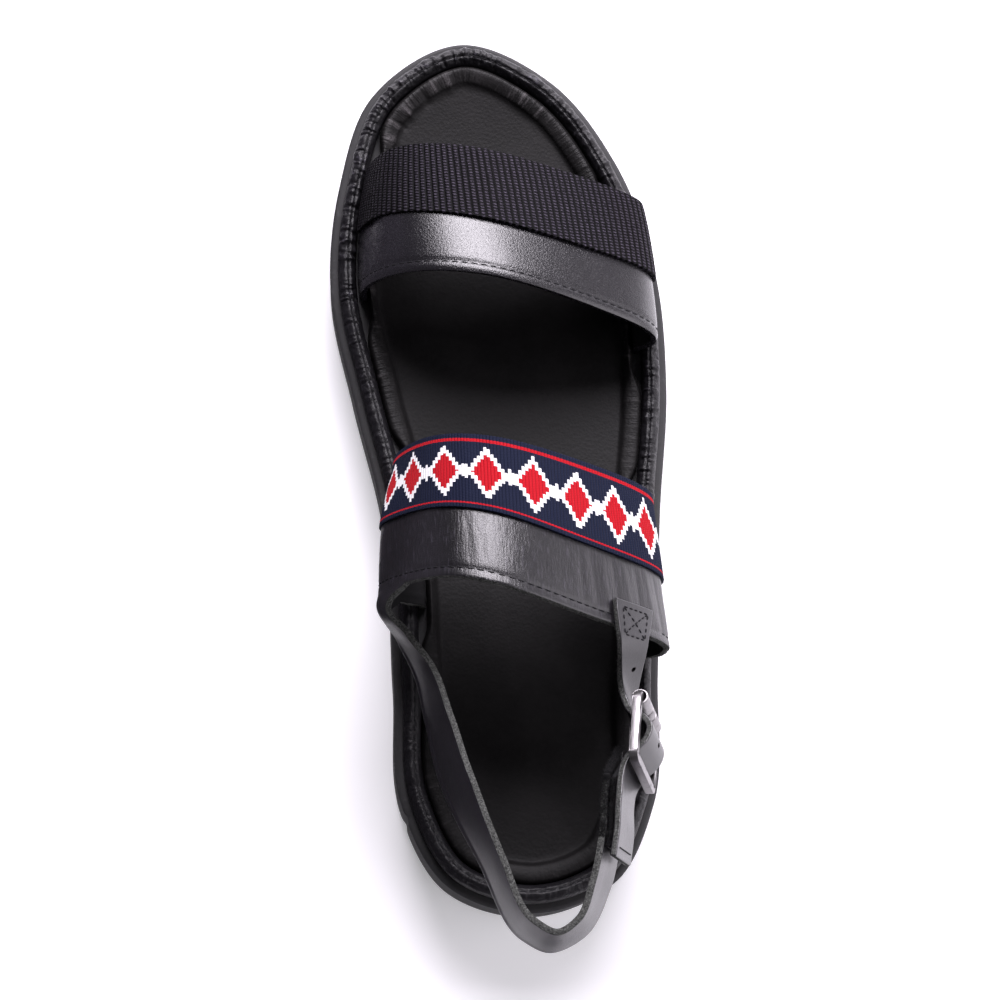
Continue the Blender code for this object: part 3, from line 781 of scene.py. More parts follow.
def leather_sheet(rows, counts, creases, uneven, dips):
    """Leather of a band: its creases, its unevenness and the dips along its back edge."""
    grid, metres = band_sheet(rows, (0.0, 1.0), (-SLOT_PLACE, 1 + SLOT_PLACE), counts)
    wide = metres[:, :, 1]
    tall, scale, seed = uneven
    lift = creased(metres, creases) + tall * ripple(metres, scale, seed)
    for inset, depth, width in dips:
        lift -= depth * groove(wide - wide.max() + inset, width)
    return grid + outward_of(grid) * lift[:, :, None], metres


def toe_band_sheet():
    """Toe band: smooth leather that dips under its stitches, with a rounded back edge."""
    return leather_sheet(TOE_BAND_ROWS, TOE_COUNTS, TOE_CREASES, TOE_RIPPLE, TOE_DIPS)


def instep_band_sheet():
    """Instep band: leather with upright creases on its outer side and a dip under its stitches."""
    return leather_sheet(INSTEP_BAND_ROWS, INSTEP_COUNTS, INSTEP_CREASES, INSTEP_RIPPLE, INSTEP_DIPS)


def slanted(grid, cut):
    """Grid cut on the slant: its upper edge ends a share of the length before its lower edge."""
    part = np.linspace(0.0, 1.0, grid.shape[0])[:, None]
    across = np.linspace(0.0, 1.0, grid.shape[1])[None]
    part = part - cut * across * np.clip((part - 1) / (3 * cut) + 1, 0.0, 1.0)
    rows, columns = np.broadcast_arrays(part, across)
    return sampled(grid, rows.ravel(), columns.ravel()).reshape(grid.shape)


def heel_strap_sheet(band):
    """Heel strap from the inner back corner of the instep band's sheet, through a neck, round the heel."""
    places, _ = even_places(INSTEP_BAND_ROWS, 0.5, -SLOT_PLACE, 1 + SLOT_PLACE, INSTEP_COUNTS[0])
    first, last = (int(np.argmin(np.abs(places - place))) for place in NECK_ROWS[1][1:])
    edge = band[0, first : last + 1]
    free = [flat_section(row[:3], row[3:]) for row in HEEL_STRAP_ROWS]
    sections = sewn_sections(NECK_ROWS, [0.0] * len(NECK_ROWS)) + free
    grid = strap_grid(sections, last - first, HEEL_ROWS_ALONG, skip=1)
    near = np.clip(1 - np.arange(len(grid)) / NECK_WELD, 0.0, 1.0) ** 2
    grid = slanted(grid + (edge - grid[0])[None] * near[:, None, None], STRAP_SLANT)
    metres = strap_metres(grid)
    across = metres[:, :, 0] / metres[:, :, 0].max()
    along = metres[:, :, 1]
    free_run = np.clip((along - CROWN_START[0]) / CROWN_START[1], 0.0, 1.0)
    free_run *= np.clip((along.max() - CROWN_END[0] - along) / CROWN_END[1], 0.0, 1.0)
    tall, scale, seed = HEEL_RIPPLE
    lift = tall * ripple(metres, scale, seed) * (1 - near)[:, None]
    lift += STRAP_CROWN * 4 * across * (1 - across) * free_run
    lift += STRAP_FLARE * groove(metres[:, :, 0], STRAP_FLARE_WIDTH) * free_run
    grid, metres, lift = grid[::-1], metres[::-1], lift[::-1]
    return grid + outward_of(grid) * lift[:, :, None], metres


def buckle_strap_sheet():
    """Buckle strap from its sewn tab, under the front bar, out through the frame, under the back bar."""
    sewn = sewn_sections(TAB_ROWS, [STRAP_WALL + GAP] * len(TAB_ROWS))
    backward = sewn[-1] - sewn[-2]
    run_out = [sewn[-1] + backward * TAB_RUN_OUT / np.linalg.norm(backward[1])]
    threaded = [threaded_section(along, lift) for along, lift in THREAD_ROWS]
    lap = STRAP_WALL + HOOK_TAPE_WALL + 3 * GAP
    lapped = [lapped_section(station, lap) for station in LAP_STATIONS]
    grid = strap_grid(sewn + run_out + threaded + lapped, *BUCKLE_STRAP_STEPS)
    return grid, strap_metres(grid)


def hook_tape_sheet():
    """Hook-and-loop tape between the heel strap and the end of the buckle strap."""
    lift = (STRAP_WALL + HOOK_TAPE_WALL) / 2 + GAP
    sections = [lapped_section(station, lift, TAPE_EDGE) for station in TAPE_STATIONS]
    grid = slanted(strap_grid(sections, *TAPE_STEPS)[::-1], TAPE_SLANT)[::-1]
    return grid, strap_metres(grid)


def overlay_sheet(rows, seam_share, wall, counts):
    """Strip sewn on the outer face of a band, from its front edge to the seam."""
    grid, metres = band_sheet(rows, (0.0, seam_share), (STRIP_END, 1 - STRIP_END), counts)
    return grid + outward_of(grid) * (STRAP_WALL / 2 + SEWN_GAP + wall / 2), metres


def sampled(grid, rows, columns):
    """Points between the corners of a grid, at fractions of its rows and columns."""
    rows = np.asarray(rows, float) * (grid.shape[0] - 1)
    columns = np.asarray(columns, float) * (grid.shape[1] - 1)
    top = np.clip(rows.astype(int), 0, grid.shape[0] - 2)
    left = np.clip(columns.astype(int), 0, grid.shape[1] - 2)
    down = (rows - top)[:, None]
    right = (columns - left)[:, None]
    return (
        grid[top, left] * (1 - down) * (1 - right)
        + grid[top + 1, left] * down * (1 - right)
        + grid[top, left + 1] * (1 - down) * right
        + grid[top + 1, left + 1] * down * right
    )


def seam_frames(grid, corners, lift, pitch):
    """Matrices of stitches along a line on a grid: X along the seam, Z outwards."""
    corners = np.asarray(corners, float)
    part = np.linspace(0.0, 1.0, SEAM_SAMPLES)
    stations = np.linspace(0.0, 1.0, len(corners))
    path = np.stack([np.interp(part, stations, column) for column in corners.T], axis=1)
    line = sampled(grid, path[:, 0], path[:, 1])
    up = sampled(outward_of(grid), path[:, 0], path[:, 1])
    run = run_of(line)
    count = max(int(run[-1] / pitch), 1)
    even = (np.arange(count) + 0.5) * run[-1] / count
    ahead = np.gradient(line, run, axis=0)
    frames = np.zeros((count, 4, 4))
    for index, here in enumerate(even):
        spot, along, out = (
            np.array([np.interp(here, run, column) for column in values.T]) for values in (line, ahead, up)
        )
        along /= np.linalg.norm(along)
        side = np.cross(out, along)
        side /= np.linalg.norm(side)
        out = np.cross(along, side)
        frames[index] = np.eye(4)
        frames[index, :3, :3] = np.stack([along, side, out], axis=1)
        frames[index, :3, 3] = spot + out * lift + ORIGIN
    return frames


def fibre_frames(grid, corners, inward, count, wall, reach, rng):
    """Matrices of fibres scattered along a sheet's cut edge between two corners: Z points out."""
    part = rng.uniform(0.0, 1.0, count)[:, None]
    spots = np.asarray(corners[0]) * (1 - part) + np.asarray(corners[1]) * part
    line = sampled(grid, *spots.T)
    ahead = line - sampled(grid, *(spots + inward).T)
    up = sampled(outward_of(grid), *spots.T)
    out = ahead / np.linalg.norm(ahead, axis=1, keepdims=True) + rng.normal(0.0, FIBRE_STRAY, (count, 3))
    out /= np.linalg.norm(out, axis=1, keepdims=True)
    side = np.cross(out, rng.normal(size=(count, 3)))
    side /= np.linalg.norm(side, axis=1, keepdims=True)
    frames = np.tile(np.eye(4), (count, 1, 1))
    frames[:, :3, 0] = side * FIBRE_WIDTH
    frames[:, :3, 1] = np.cross(out, side) * FIBRE_WIDTH
    frames[:, :3, 2] = out * rng.uniform(FIBRE_SHORTEST, 1.0, (count, 1)) * reach
    frames[:, :3, 3] = line + up * rng.uniform(-0.5, 0.5, (count, 1)) * wall + ORIGIN
    return frames


# Making and finishing pieces


def deselect():
    if bpy.context.object and bpy.context.object.mode != "OBJECT":
        bpy.ops.object.mode_set(mode="OBJECT")
    bpy.ops.object.select_all(action="DESELECT")


def alone(item):
    """Select one piece and make it the active one."""
    deselect()
    bpy.context.view_layer.objects.active = item
    item.select_set(True)


def named(name):
    """Name the active piece and its mesh."""
    item = bpy.context.object
    item.name = name
    item.data.name = name
    return item


def laid(name, grid, metres):
    """Grid laid through rows of points, with a UV map in metres."""
    rows, columns = grid.shape[:2]
    deselect()
    bpy.ops.mesh.primitive_grid_add(x_subdivisions=columns - 1, y_subdivisions=rows - 1, size=1.0)
    item = named(name)
    item.data.vertices.foreach_set("co", (grid + ORIGIN).astype(np.float32).ravel())
    corners = np.zeros(len(item.data.loops), np.int32)
    item.data.loops.foreach_get("vertex_index", corners)
    layer = item.data.uv_layers.active
    layer.name = SURFACE
    layer.data.foreach_set("uv", metres.reshape(-1, 2)[corners].astype(np.float32).ravel())
    item.data.update()
    return item


def merged(item, closed=True):
    """Merge the points where a sheet meets itself, and turn the faces of a closed one outwards."""
    bpy.ops.object.mode_set(mode="EDIT")
    bpy.ops.mesh.select_all(action="SELECT")
    bpy.ops.mesh.remove_doubles(threshold=1e-6)
    if closed:
        bpy.ops.mesh.dissolve_degenerate(threshold=1e-7)
        bpy.ops.mesh.normals_make_consistent(inside=False)
    bpy.ops.object.mode_set(mode="OBJECT")
    return item


def marked(item, name, values):
    """Give each point of a piece a value that its look reads."""
    layer = item.data.attributes.new(name, "FLOAT", "POINT")
    layer.data.foreach_set("value", values.astype(np.float32).ravel())


def modified(item, kind, **settings):
    """Add a modifier to the active piece and apply it."""
    made = item.modifiers.new(kind.lower(), kind)
    for key, value in settings.items():
        setattr(made, key, value)
    bpy.ops.object.modifier_apply(modifier=made.name)


def eased(item, width, segments, angle):
    """Round the edges of a piece that are sharper than an angle."""
    limit = {"limit_method": "ANGLE", "angle_limit": radians(angle)}
    modified(item, "BEVEL", width=width, segments=segments, material=0, **limit)


def shaded(item, looks):
    for look in looks:
        item.data.materials.append(look)
    bpy.ops.object.shade_smooth()
    return item


def thickened(item, wall, ease):
    """Give a sheet its wall, with the second look inside, the third round its edge, and eased corners."""
    sides = {"material_offset": 1, "material_offset_rim": 2}
    modified(item, "SOLIDIFY", thickness=wall, offset=0.0, use_even_offset=True, **sides)
    eased(item, ease, 3, 75)


def dressed(item, slot, *nodes):
    """Tie a finished piece to the part: its body and the solids that it stands for; its finish (slot) is not
    used.
    """
    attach(item, "root")
    if nodes:
        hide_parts(*nodes)


def strapped(name, sheet, looks, wall, ease, slot, node):
    """Make a strap or tape from its sheet and the looks of its face, its inside and its edge."""
    item = shaded(laid(name, *sheet), looks)
    thickened(item, wall, ease)
    dressed(item, slot, node)


def punched(item, frames, radius):
    """Cut a round hole through a piece along the Z axis of each matrix."""
    deselect()
    bpy.ops.mesh.primitive_cylinder_add(vertices=20, radius=radius, depth=0.008)
    punch = copied("punch", named("punch"), frames)
    alone(item)
    modified(item, "BOOLEAN", object=punch, operation="DIFFERENCE", solver="EXACT")
    bpy.data.objects.remove(punch, do_unlink=True)


def copied(name, item, frames):
    """One mesh of a modelled shape copied to each matrix. The shape itself is removed."""
    count = len(item.data.vertices)
    points = np.zeros(count * 3)
    item.data.vertices.foreach_get("co", points)
    points = points.reshape(-1, 3)
    faces = [tuple(face.vertices) for face in item.data.polygons]
    spread = np.einsum("nij,kj->nki", frames[:, :3, :3], points) + frames[:, None, :3, 3]
    mesh = bpy.data.meshes.new(name)
    everywhere = [
        tuple(corner + count * index for corner in face) for index in range(len(frames)) for face in faces
    ]
    mesh.from_pydata(spread.reshape(-1, 3), [], everywhere)
    bpy.data.objects.remove(item, do_unlink=True)
    made = bpy.data.objects.new(name, mesh)
    bpy.context.scene.collection.objects.link(made)
    alone(made)
    return made


# Materials


class Socket:
    """Output of a node in a look; arithmetic on it adds Math nodes."""

    def __init__(self, look, output):
        self.look = look
        self.output = output

    def math(self, operation, first, second=0.0):
        return self.look.node("ShaderNodeMath", {"operation": operation}, {0: first, 1: second})

    def __add__(self, other):
        return self.math("ADD", self, other)

    __radd__ = __add__

    def __sub__(self, other):
        return self.math("SUBTRACT", self, other)

    def __rsub__(self, other):
        return self.math("SUBTRACT", other, self)

    def __mul__(self, other):
        return self.math("MULTIPLY", self, other)

    __rmul__ = __mul__

    def __truediv__(self, other):
        return self.math("DIVIDE", self, other)

    def __mod__(self, other):
        return self.math("FLOORED_MODULO", self, other)

    def __lt__(self, other):
        return self.math("LESS_THAN", self, other)

    def __abs__(self):
        return self.math("ABSOLUTE", self)

    def floor(self):
        return self.math("FLOOR", self)

    def hump(self):
        """Rise from 0 at each whole number to 1 halfway to the next, and back."""
        return 1.0 - abs((self % 1.0) * 2.0 - 1.0)

    def mask(self, low, high):
        """Smooth step from 0 at low to 1 at high."""
        settings = {"interpolation_type": "SMOOTHSTEP"}
        return self.look.node("ShaderNodeMapRange", settings, {0: self, 1: low, 2: high})


class Look:
    """A material with one Principled shader, whose fixed values are set straight on its sockets."""

    def __init__(self, name, **fixed):
        self.material = bpy.data.materials.new(name)
        self.material.use_nodes = True
        self.tree = self.material.node_tree
        self.shader = self.tree.nodes["Principled BSDF"]
        for key, value in fixed.items():
            self.shader.inputs[key.replace("_", " ")].default_value = value

    def node(self, kind, settings, sockets, output=0):
        """Add a node with its settings and the values or links of its sockets."""
        made = self.tree.nodes.new(kind)
        for key, value in settings.items():
            setattr(made, key, value)
        for key, value in sockets.items():
            if isinstance(value, Socket):
                self.tree.links.new(value.output, made.inputs[key])
            else:
                made.inputs[key].default_value = value
        return Socket(self, made.outputs[output])

    def place(self, stretch=(1.0, 1.0, 1.0), turn=(0.0, 0.0, 0.0)):
        """Object coordinates in metres, turned and then stretched."""
        here = self.node("ShaderNodeTexCoord", {}, {}, 3)
        turned = self.node("ShaderNodeMapping", {}, {"Vector": here, "Rotation": turn})
        return self.node("ShaderNodeVectorMath", {"operation": "MULTIPLY"}, {0: turned, 1: stretch})

    def surface(self):
        """Metres along and across the piece's own UV map."""
        here = self.node("ShaderNodeUVMap", {"uv_map": SURFACE}, {})
        return [self.node("ShaderNodeSeparateXYZ", {}, {0: here}, axis) for axis in (0, 1)]

    def joined(self, first, second):
        return self.node("ShaderNodeCombineXYZ", {}, {0: first, 1: second})

    def noise(self, where, scale, detail=2.0, roughness=0.5):
        sockets = {"Vector": where, "Scale": scale, "Detail": detail, "Roughness": roughness}
        return self.node("ShaderNodeTexNoise", {}, sockets)

    def cells(self, where, scale):
        return self.node("ShaderNodeTexVoronoi", {}, {"Vector": where, "Scale": scale})

    def attribute(self, name):
        return self.node("ShaderNodeAttribute", {"attribute_name": name}, {}, 2)

    def mix(self, factor, first, second):
        """Colour between two colours."""
        first, second = (item if isinstance(item, Socket) else (*item, 1.0) for item in (first, second))
        return self.node("ShaderNodeMix", {"data_type": "RGBA"}, {0: factor, 6: first, 7: second}, 2)

    def dress(self, tint, roughness, relief=None):
        """Feed the shader's colour, its roughness and a relief in metres."""
        self.tree.links.new(tint.output, self.shader.inputs["Base Color"])
        self.tree.links.new(roughness.output, self.shader.inputs["Roughness"])
        if relief:
            bump = self.node("ShaderNodeBump", {}, {"Strength": 1.0, "Distance": 1.0, "Height": relief})
            self.tree.links.new(bump.output, self.shader.inputs["Normal"])
        return self.material


def shade(tone, factor):
    """A colour made lighter or darker."""
    return tuple(min(part * factor, 1.0) for part in tone)


def smooth_leather():
    """Polished black leather: fine grain that sparkles in the light."""
    tone = colours().leather
    look = Look("smooth_black_leather", Specular_IOR_Level=0.65, Coat_Weight=0.20, Coat_Roughness=0.22)
    where = look.place()
    fine = look.noise(where, 2300.0, 3.0, 0.6)
    pores = look.cells(where, 1500.0)
    clouds = look.noise(where, 70.0, 3.0)
    tint = look.mix(clouds, shade(tone, 0.75), shade(tone, 1.5))
    relief = fine * 0.00011 + pores * 0.00005 + clouds * 0.0001
    return look.dress(tint, 0.19 + 0.10 * fine + 0.06 * clouds, relief)


def stretched_leather():
    """Black leather pulled over the instep: fine streaks and pores that run from toe to heel."""
    tone = colours().leather
    look = Look("stretched_black_leather", Specular_IOR_Level=0.7)
    along, across = look.surface()
    streaks = look.noise(look.joined(along, across * 0.16), 1300.0, 3.0, 0.6)
    fine = look.noise(look.place(), 2300.0, 3.0, 0.6)
    broad = look.noise(look.joined(along, across * 0.2), 240.0, 3.0, 0.6)
    clouds = look.noise(look.place(), 60.0, 3.0)
    tint = look.mix(streaks.mask(0.52, 0.74), shade(tone, 0.8), shade(tone, 4.5))
    relief = streaks * 0.00014 + fine * 0.00009 + broad * 0.00016
    return look.dress(tint, 0.22 + 0.14 * streaks + 0.10 * clouds, relief)


def strap_leather(name, sheen):
    """Black strap leather with a soft sheen and light scuffs."""
    tone = colours().leather
    look = Look(name, Specular_IOR_Level=sheen)
    where = look.place()
    fine = look.noise(where, 2100.0, 3.0, 0.6)
    clouds = look.noise(where, 90.0, 3.0)
    scuffs = look.noise(look.place((1.0, 0.25, 1.0)), 420.0, 4.0, 0.65).mask(0.60, 0.78)
    tint = look.mix(scuffs * 0.5, look.mix(clouds, shade(tone, 0.8), shade(tone, 1.5)), shade(tone, 4.0))
    relief = fine * 0.00008 + clouds * 0.00014
    return look.dress(tint, 0.22 + 0.08 * fine + 0.12 * scuffs + 0.10 * clouds, relief)


def cut_edge():
    """Raw edge of the leather, grey and fuzzy like felt."""
    tone = colours().felt
    look = Look("felted_cut_edge", Specular_IOR_Level=0.1)
    where = look.place()
    fuzz = look.noise(where, 1900.0, 4.0, 0.7)
    patches = look.noise(where, 420.0, 3.0, 0.6)
    tint = look.mix(fuzz.mask(0.34, 0.72) * (0.4 + 0.6 * patches), shade(tone, 0.30), shade(tone, 2.0))
    return look.dress(tint, 0.88 + 0.1 * patches, fuzz * 0.0004 + patches * 0.0004)


def lining():
    """Inner face of the straps: dull dark leather."""
    tone = colours().lining
    look = Look("dull_lining", Specular_IOR_Level=0.2)
    where = look.place()
    nap = look.noise(where, 1500.0, 3.0, 0.6)
    clouds = look.noise(where, 90.0, 3.0)
    return look.dress(look.mix(clouds, shade(tone, 0.7), shade(tone, 1.6)), 0.62 + 0.2 * nap, nap * 0.00009)


def rim_leather():
    """Thin shiny leather of the rim, with light specks on the tops of its wrinkles: partly scuffs, partly
    painted highlights.
    """
    tone = colours().rim
    look = Look("puckered_rim_leather", Specular_IOR_Level=0.34)
    where = look.place()
    glinting_wear = look.attribute("wear")
    fine = look.noise(where, 1500.0, 4.0, 0.65)
    crackle = look.noise(where, 620.0, 4.0, 0.65)
    # Light specks on the fold tops: partly scuffed leather, partly painted highlights on the puckers
    glint_specks = crackle.mask(0.50, 0.70) * glinting_wear
    tint = look.mix(glint_specks, look.mix(crackle, shade(tone, 0.6), shade(tone, 1.5)), shade(tone, 14.0))
    relief = fine * 0.00012 + crackle * 0.0004
    return look.dress(tint, 0.32 + 0.2 * fine - 0.10 * glinting_wear, relief)


def insole_leather():
    """Dark leather of the footbed, dulled with use, with a fine grain, a shinier lip and painted highlights
    on the ridges and wrinkles of its lip.
    """
    tone = colours().insole
    look = Look("footbed_leather", Specular_IOR_Level=0.16)
    where = look.place()
    lip = look.attribute("lip")
    across, along = look.surface()
    wrinkles = look.noise(look.joined(across * 0.30, along), 330.0, 4.0, 0.6)
    patches = look.noise(where, 110.0, 2.0).mask(0.42, 0.62)
    # Painted highlights: the ridges of the lip's creases and patches of its radial wrinkles are lightened
    painted_light = look.attribute("ridges") * 0.8 + lip * patches * wrinkles.mask(0.52, 0.68)
    grain = look.cells(where, 900.0)
    fine = look.noise(where, 1800.0, 3.0, 0.6)
    clouds = look.noise(where, 45.0, 4.0, 0.6)
    plain = look.mix(clouds.mask(0.35, 0.7), shade(tone, 0.7), shade(tone, 1.5))
    tint = look.mix(painted_light * fine.mask(0.25, 0.60), plain, shade(tone, 16.0))
    rough = 0.46 + 0.16 * clouds + 0.08 * fine - 0.16 * lip
    return look.dress(tint, rough, grain * 0.00006 + fine * 0.00007 + lip * wrinkles * 0.0014)


def sole_rubber():
    """Matt dark rubber with dust in its pores and light scuffs."""
    tone = colours().rubber
    look = Look("matt_dark_rubber", Specular_IOR_Level=0.35)
    where = look.place()
    dust = look.noise(where, 900.0, 4.0, 0.7)
    scuffs = look.noise(look.place((1.0, 1.0, 4.0)), 230.0, 4.0, 0.7).mask(0.56, 0.76)
    clouds = look.noise(where, 60.0, 3.0)
    plain = look.mix(clouds, shade(tone, 0.75), shade(tone, 1.35))
    tint = look.mix(scuffs * 0.45 + dust.mask(0.6, 0.85) * 0.3, plain, shade(tone, 3.0))
    return look.dress(tint, 0.62 + 0.16 * dust + 0.1 * scuffs, dust * 0.00010 + scuffs * 0.00008)


def webbing_weave():
    """Ribbed black webbing: short thread floats, set off from one rib to the next, with painted shade towards
    its inner end.
    """
    tone = colours().webbing
    rib = sizes().webbing_rib
    dash = sizes().webbing_dash
    look = Look("ribbed_webbing", Specular_IOR_Level=0.08)
    along, across = look.surface()
    ribs = along / rib
    floats = ((across + ribs.floor() * (dash / 2)) / dash).hump()
    fibres = look.noise(look.joined(along * 0.3, across), 5200.0, 2.0)
    lit = (0.10 + 0.90 * floats.mask(0.20, 0.85)) * ribs.hump().mask(0.30, 0.78)
    # Painted shade: the threads are darkest in the first 10 mm from the inner end of the webbing, easing out
    # by 42 mm
    painted_light = 0.35 + 0.65 * along.mask(0.010, 0.042)
    tint = look.mix(lit * fibres.mask(0.30, 0.72) * painted_light, shade(tone, 0.03), shade(tone, 4.8))
    return look.dress(tint, 0.55 + 0.2 * fibres, lit * 0.00030 + fibres * 0.00005)


def braid_weave(width):
    """Navy braid with a chain of red lozenges outlined in white, stepped by its threads."""
    tone = colours()
    rib = sizes().braid_rib
    period = sizes().lozenge_length
    look = Look("lozenge_braid", Specular_IOR_Level=0.15)
    along, across = look.surface()
    ribs = along / rib
    picks = across / (rib * 0.5)
    beside = abs((ribs.floor() * rib / period) % 1.0 - 0.5) * period
    away = abs(picks.floor() * (rib * 0.5) - width / 2)
    core = beside / (period * 0.46) + away / (width * 0.36)
    between = (period / 2 - beside) / (period * 0.16) + away / (width * 0.12)
    lines = abs(away - width * 0.425) < rib * 0.42
    white = look.mix(core < 1.0, tone.navy, tone.white)
    chain = look.mix(core < 0.72, white, tone.red)
    spots = look.mix(between < 1.0, chain, tone.white)
    plain = look.mix(lines, spots, tone.red)
    floats = (picks + ribs.floor() * 0.5).hump()
    fibres = look.noise(look.joined(along, across * 0.3), 6000.0, 2.0)
    lit = ribs.hump().mask(0.0, 0.6) * (0.55 + 0.45 * floats) * (0.7 + 0.5 * fibres)
    tint = look.mix(lit, look.mix(0.45, plain, (0.0, 0.0, 0.0)), plain)
    return look.dress(tint, 0.70 + 0.2 * fibres, lit * 0.00014)


def hook_weave():
    """Dull black hook-and-loop tape."""
    tone = colours().hook
    look = Look("hook_and_loop", Specular_IOR_Level=0.3)
    where = look.place()
    fibres = look.noise(where, 2600.0, 4.0, 0.7)
    tufts = look.cells(where, 900.0)
    tint = look.mix(fibres.mask(0.4, 0.75), shade(tone, 0.5), shade(tone, 2.6))
    return look.dress(tint, 0.8 + 0.15 * fibres, fibres * 0.0002 + tufts * 0.0002)


def brushed_metal():
    """Brushed metal of the buckle, brushed along the strap, with a few dull spots."""
    tone = colours().metal
    look = Look("brushed_buckle_metal", Metallic=1.0)
    turn = tuple(buckle_axes().to_3x3().inverted().to_euler())
    brushing = look.noise(look.place((0.08, 1.0, 1.0), turn), 4200.0, 3.0, 0.6)
    spots = look.noise(look.place(), 420.0, 4.0, 0.6).mask(0.52, 0.72)
    tint = look.mix(spots * 0.6, tone, shade(tone, 0.55))
    return look.dress(tint, 0.27 + 0.14 * brushing + 0.16 * spots, brushing * 0.00003)


def sewing_thread():
    """Twisted dark thread with a faint shine."""
    tone = colours().thread
    look = Look("sewing_thread", Specular_IOR_Level=0.15)
    twist = look.noise(look.place(), 3800.0, 2.0)
    tint = look.mix(twist, shade(tone, 0.5), shade(tone, 2.2))
    return look.dress(tint, 0.5 + 0.2 * twist, twist * 0.0001)


def pale_floor():
    """Plain pale floor with a very faint cloudiness."""
    tone = colours().floor
    look = Look("pale_floor", Specular_IOR_Level=0.25, Emission_Color=(*tone, 1.0), Emission_Strength=0.38)
    clouds = look.noise(look.place(), 6.0, 2.0)
    return look.dress(look.mix(clouds, shade(tone, 0.985), shade(tone, 1.01)), 0.5 + 0.1 * clouds)


def matt_card(name, tone):
    """Matt card beside the floor that only the reflections see."""
    look = Look(name, Specular_IOR_Level=0.0)
    clouds = look.noise(look.place(), 9.0, 1.0)
    return look.dress(look.mix(clouds, shade(tone, 0.95), shade(tone, 1.05)), 0.9 + 0.05 * clouds)


# Shapes of the sole


def profile_of(rings, count, closed=False, crowd=((0.0, 1.0), (0.0, 1.0))):
    """Rings on smooth curves through the given ones, even or crowded where more of them show."""
    rings = np.asarray(rings)
    steps = np.linalg.norm(np.roll(rings, -1, axis=0) - rings, axis=2).mean(axis=1)
    stations = np.concatenate([[0.0], np.cumsum(steps)])
    whole = stations[-1] if closed else stations[-2]
    at = whole * np.interp(np.linspace(0.0, 1.0, count, endpoint=not closed), *crowd)
    flat = rings.reshape(len(rings), -1)
    made = smooth(stations[:-1], flat, at, period=whole if closed else None)
    return made.reshape(count, -1, 3), at


def sole_sheet(side, top, under):
    """Closed sections straight across the sole, from heel to toe, with their metres.

    side holds rings from below upwards; top and under give the height of points between them."""
    count = side.shape[1]
    half = count // 2
    left = side[:, : half + 1]
    right = side[:, (count - np.arange(half + 1)) % count]
    part = np.linspace(0.0, 1.0, SOLE_STEPS)[:, None, None]

    def crossing(start, end, heights):
        points = start[None] * (1 - part) + end[None] * part
        points[1:-1, :, 2] = heights(points[1:-1], part[1:-1, :, 0])
        return points[1:-1]

    loop = np.concatenate([
        left,
        crossing(left[-1], right[-1], top),
        right[::-1],
        crossing(right[0], left[0], under),
        left[:1],
    ])
    grid = loop.transpose(1, 0, 2)
    around = run_of(grid[half // 3])
    along = np.arange(half + 1) * EDGE_LENGTH / count
    return grid, np.stack(np.meshgrid(around, along), axis=2)


def outsole_sheet():
    """Rubber sole: flat heel and forefoot with wavy grooves, raised waist, toe spring, rounded ledge."""
    rings = [raised(edge_ring(inset, SOLE_SIDES), *level) for inset, *level in OUTSOLE_SIDE_ROWS]
    side, _ = profile_of(rings, OUTSOLE_SIDE_STEPS)
    near = np.linalg.norm(side[:, :, :2] - np.array(SOLE_NICK), axis=2)
    inward = INWARD[:: EDGE_SAMPLES // SOLE_SIDES]
    side[:, :, :2] += inward[None] * (NICK_DEPTH * groove(near, NICK_WIDTH))[:, :, None]
    depth = sizes().tread_depth

    def under(points, part):
        x, y = points[:, :, 0], points[:, :, 1]
        wave = (y + TREAD_WAVE * np.sin(2 * pi * x / TREAD_WAVELENGTH)) / TREAD_PITCH
        cut = np.clip((np.cos(2 * pi * wave) - 0.25) / 0.35, 0.0, 1.0)
        zone = np.zeros(y.shape)
        for start, end in TREAD_ZONES:
            zone = np.maximum(zone, np.clip(np.minimum(y - start, end - y) / TREAD_END, 0.0, 1.0))
        reach = np.minimum(x - edge_x(-1, y, TREAD_MARGIN), edge_x(1, y, TREAD_MARGIN) - x)
        return height("ground", y) + depth * cut * zone * np.clip(reach / TREAD_RUN_OUT, 0.0, 1.0)

    def top(points, part):
        return height("rubber", points[:, :, 1])

    return sole_sheet(side, top, under)


def slot_window(count):
    """One where a band enters the footbed beside each side of the ring, easing to zero."""
    plan = edge_ring(SLOT_MIDDLE, count)
    inner = np.arange(count) * (EDGE_SAMPLES // count) <= TOE_INDEX
    window = np.zeros(count)
    for rows in (TOE_BAND_ROWS, INSTEP_BAND_ROWS):
        table = np.array(rows)
        for side, column in ((inner, "inner_y"), (~inner, "outer_y")):
            span = table[:, BAND_COLUMNS.index(column)]
            reach = np.maximum(plan[:, 1] - span.max(), span.min() - plan[:, 1]) - SLOT_EASE
            inside = np.clip(1.0 - reach / SLOT_RUN_OUT, 0.0, 1.0)
            inside = inside**2 * (3 - 2 * inside)
            window = np.maximum(window, np.where(side, inside, 0.0))
    return window


def noise_ring(share):
    """Smooth noise round the sole, between about -1 and 1, that closes on itself."""
    turn = share * 2 * pi
    return np.array([noise.noise(Vector((cos(angle) * 9, sin(angle) * 9, 1.0))) for angle in turn])


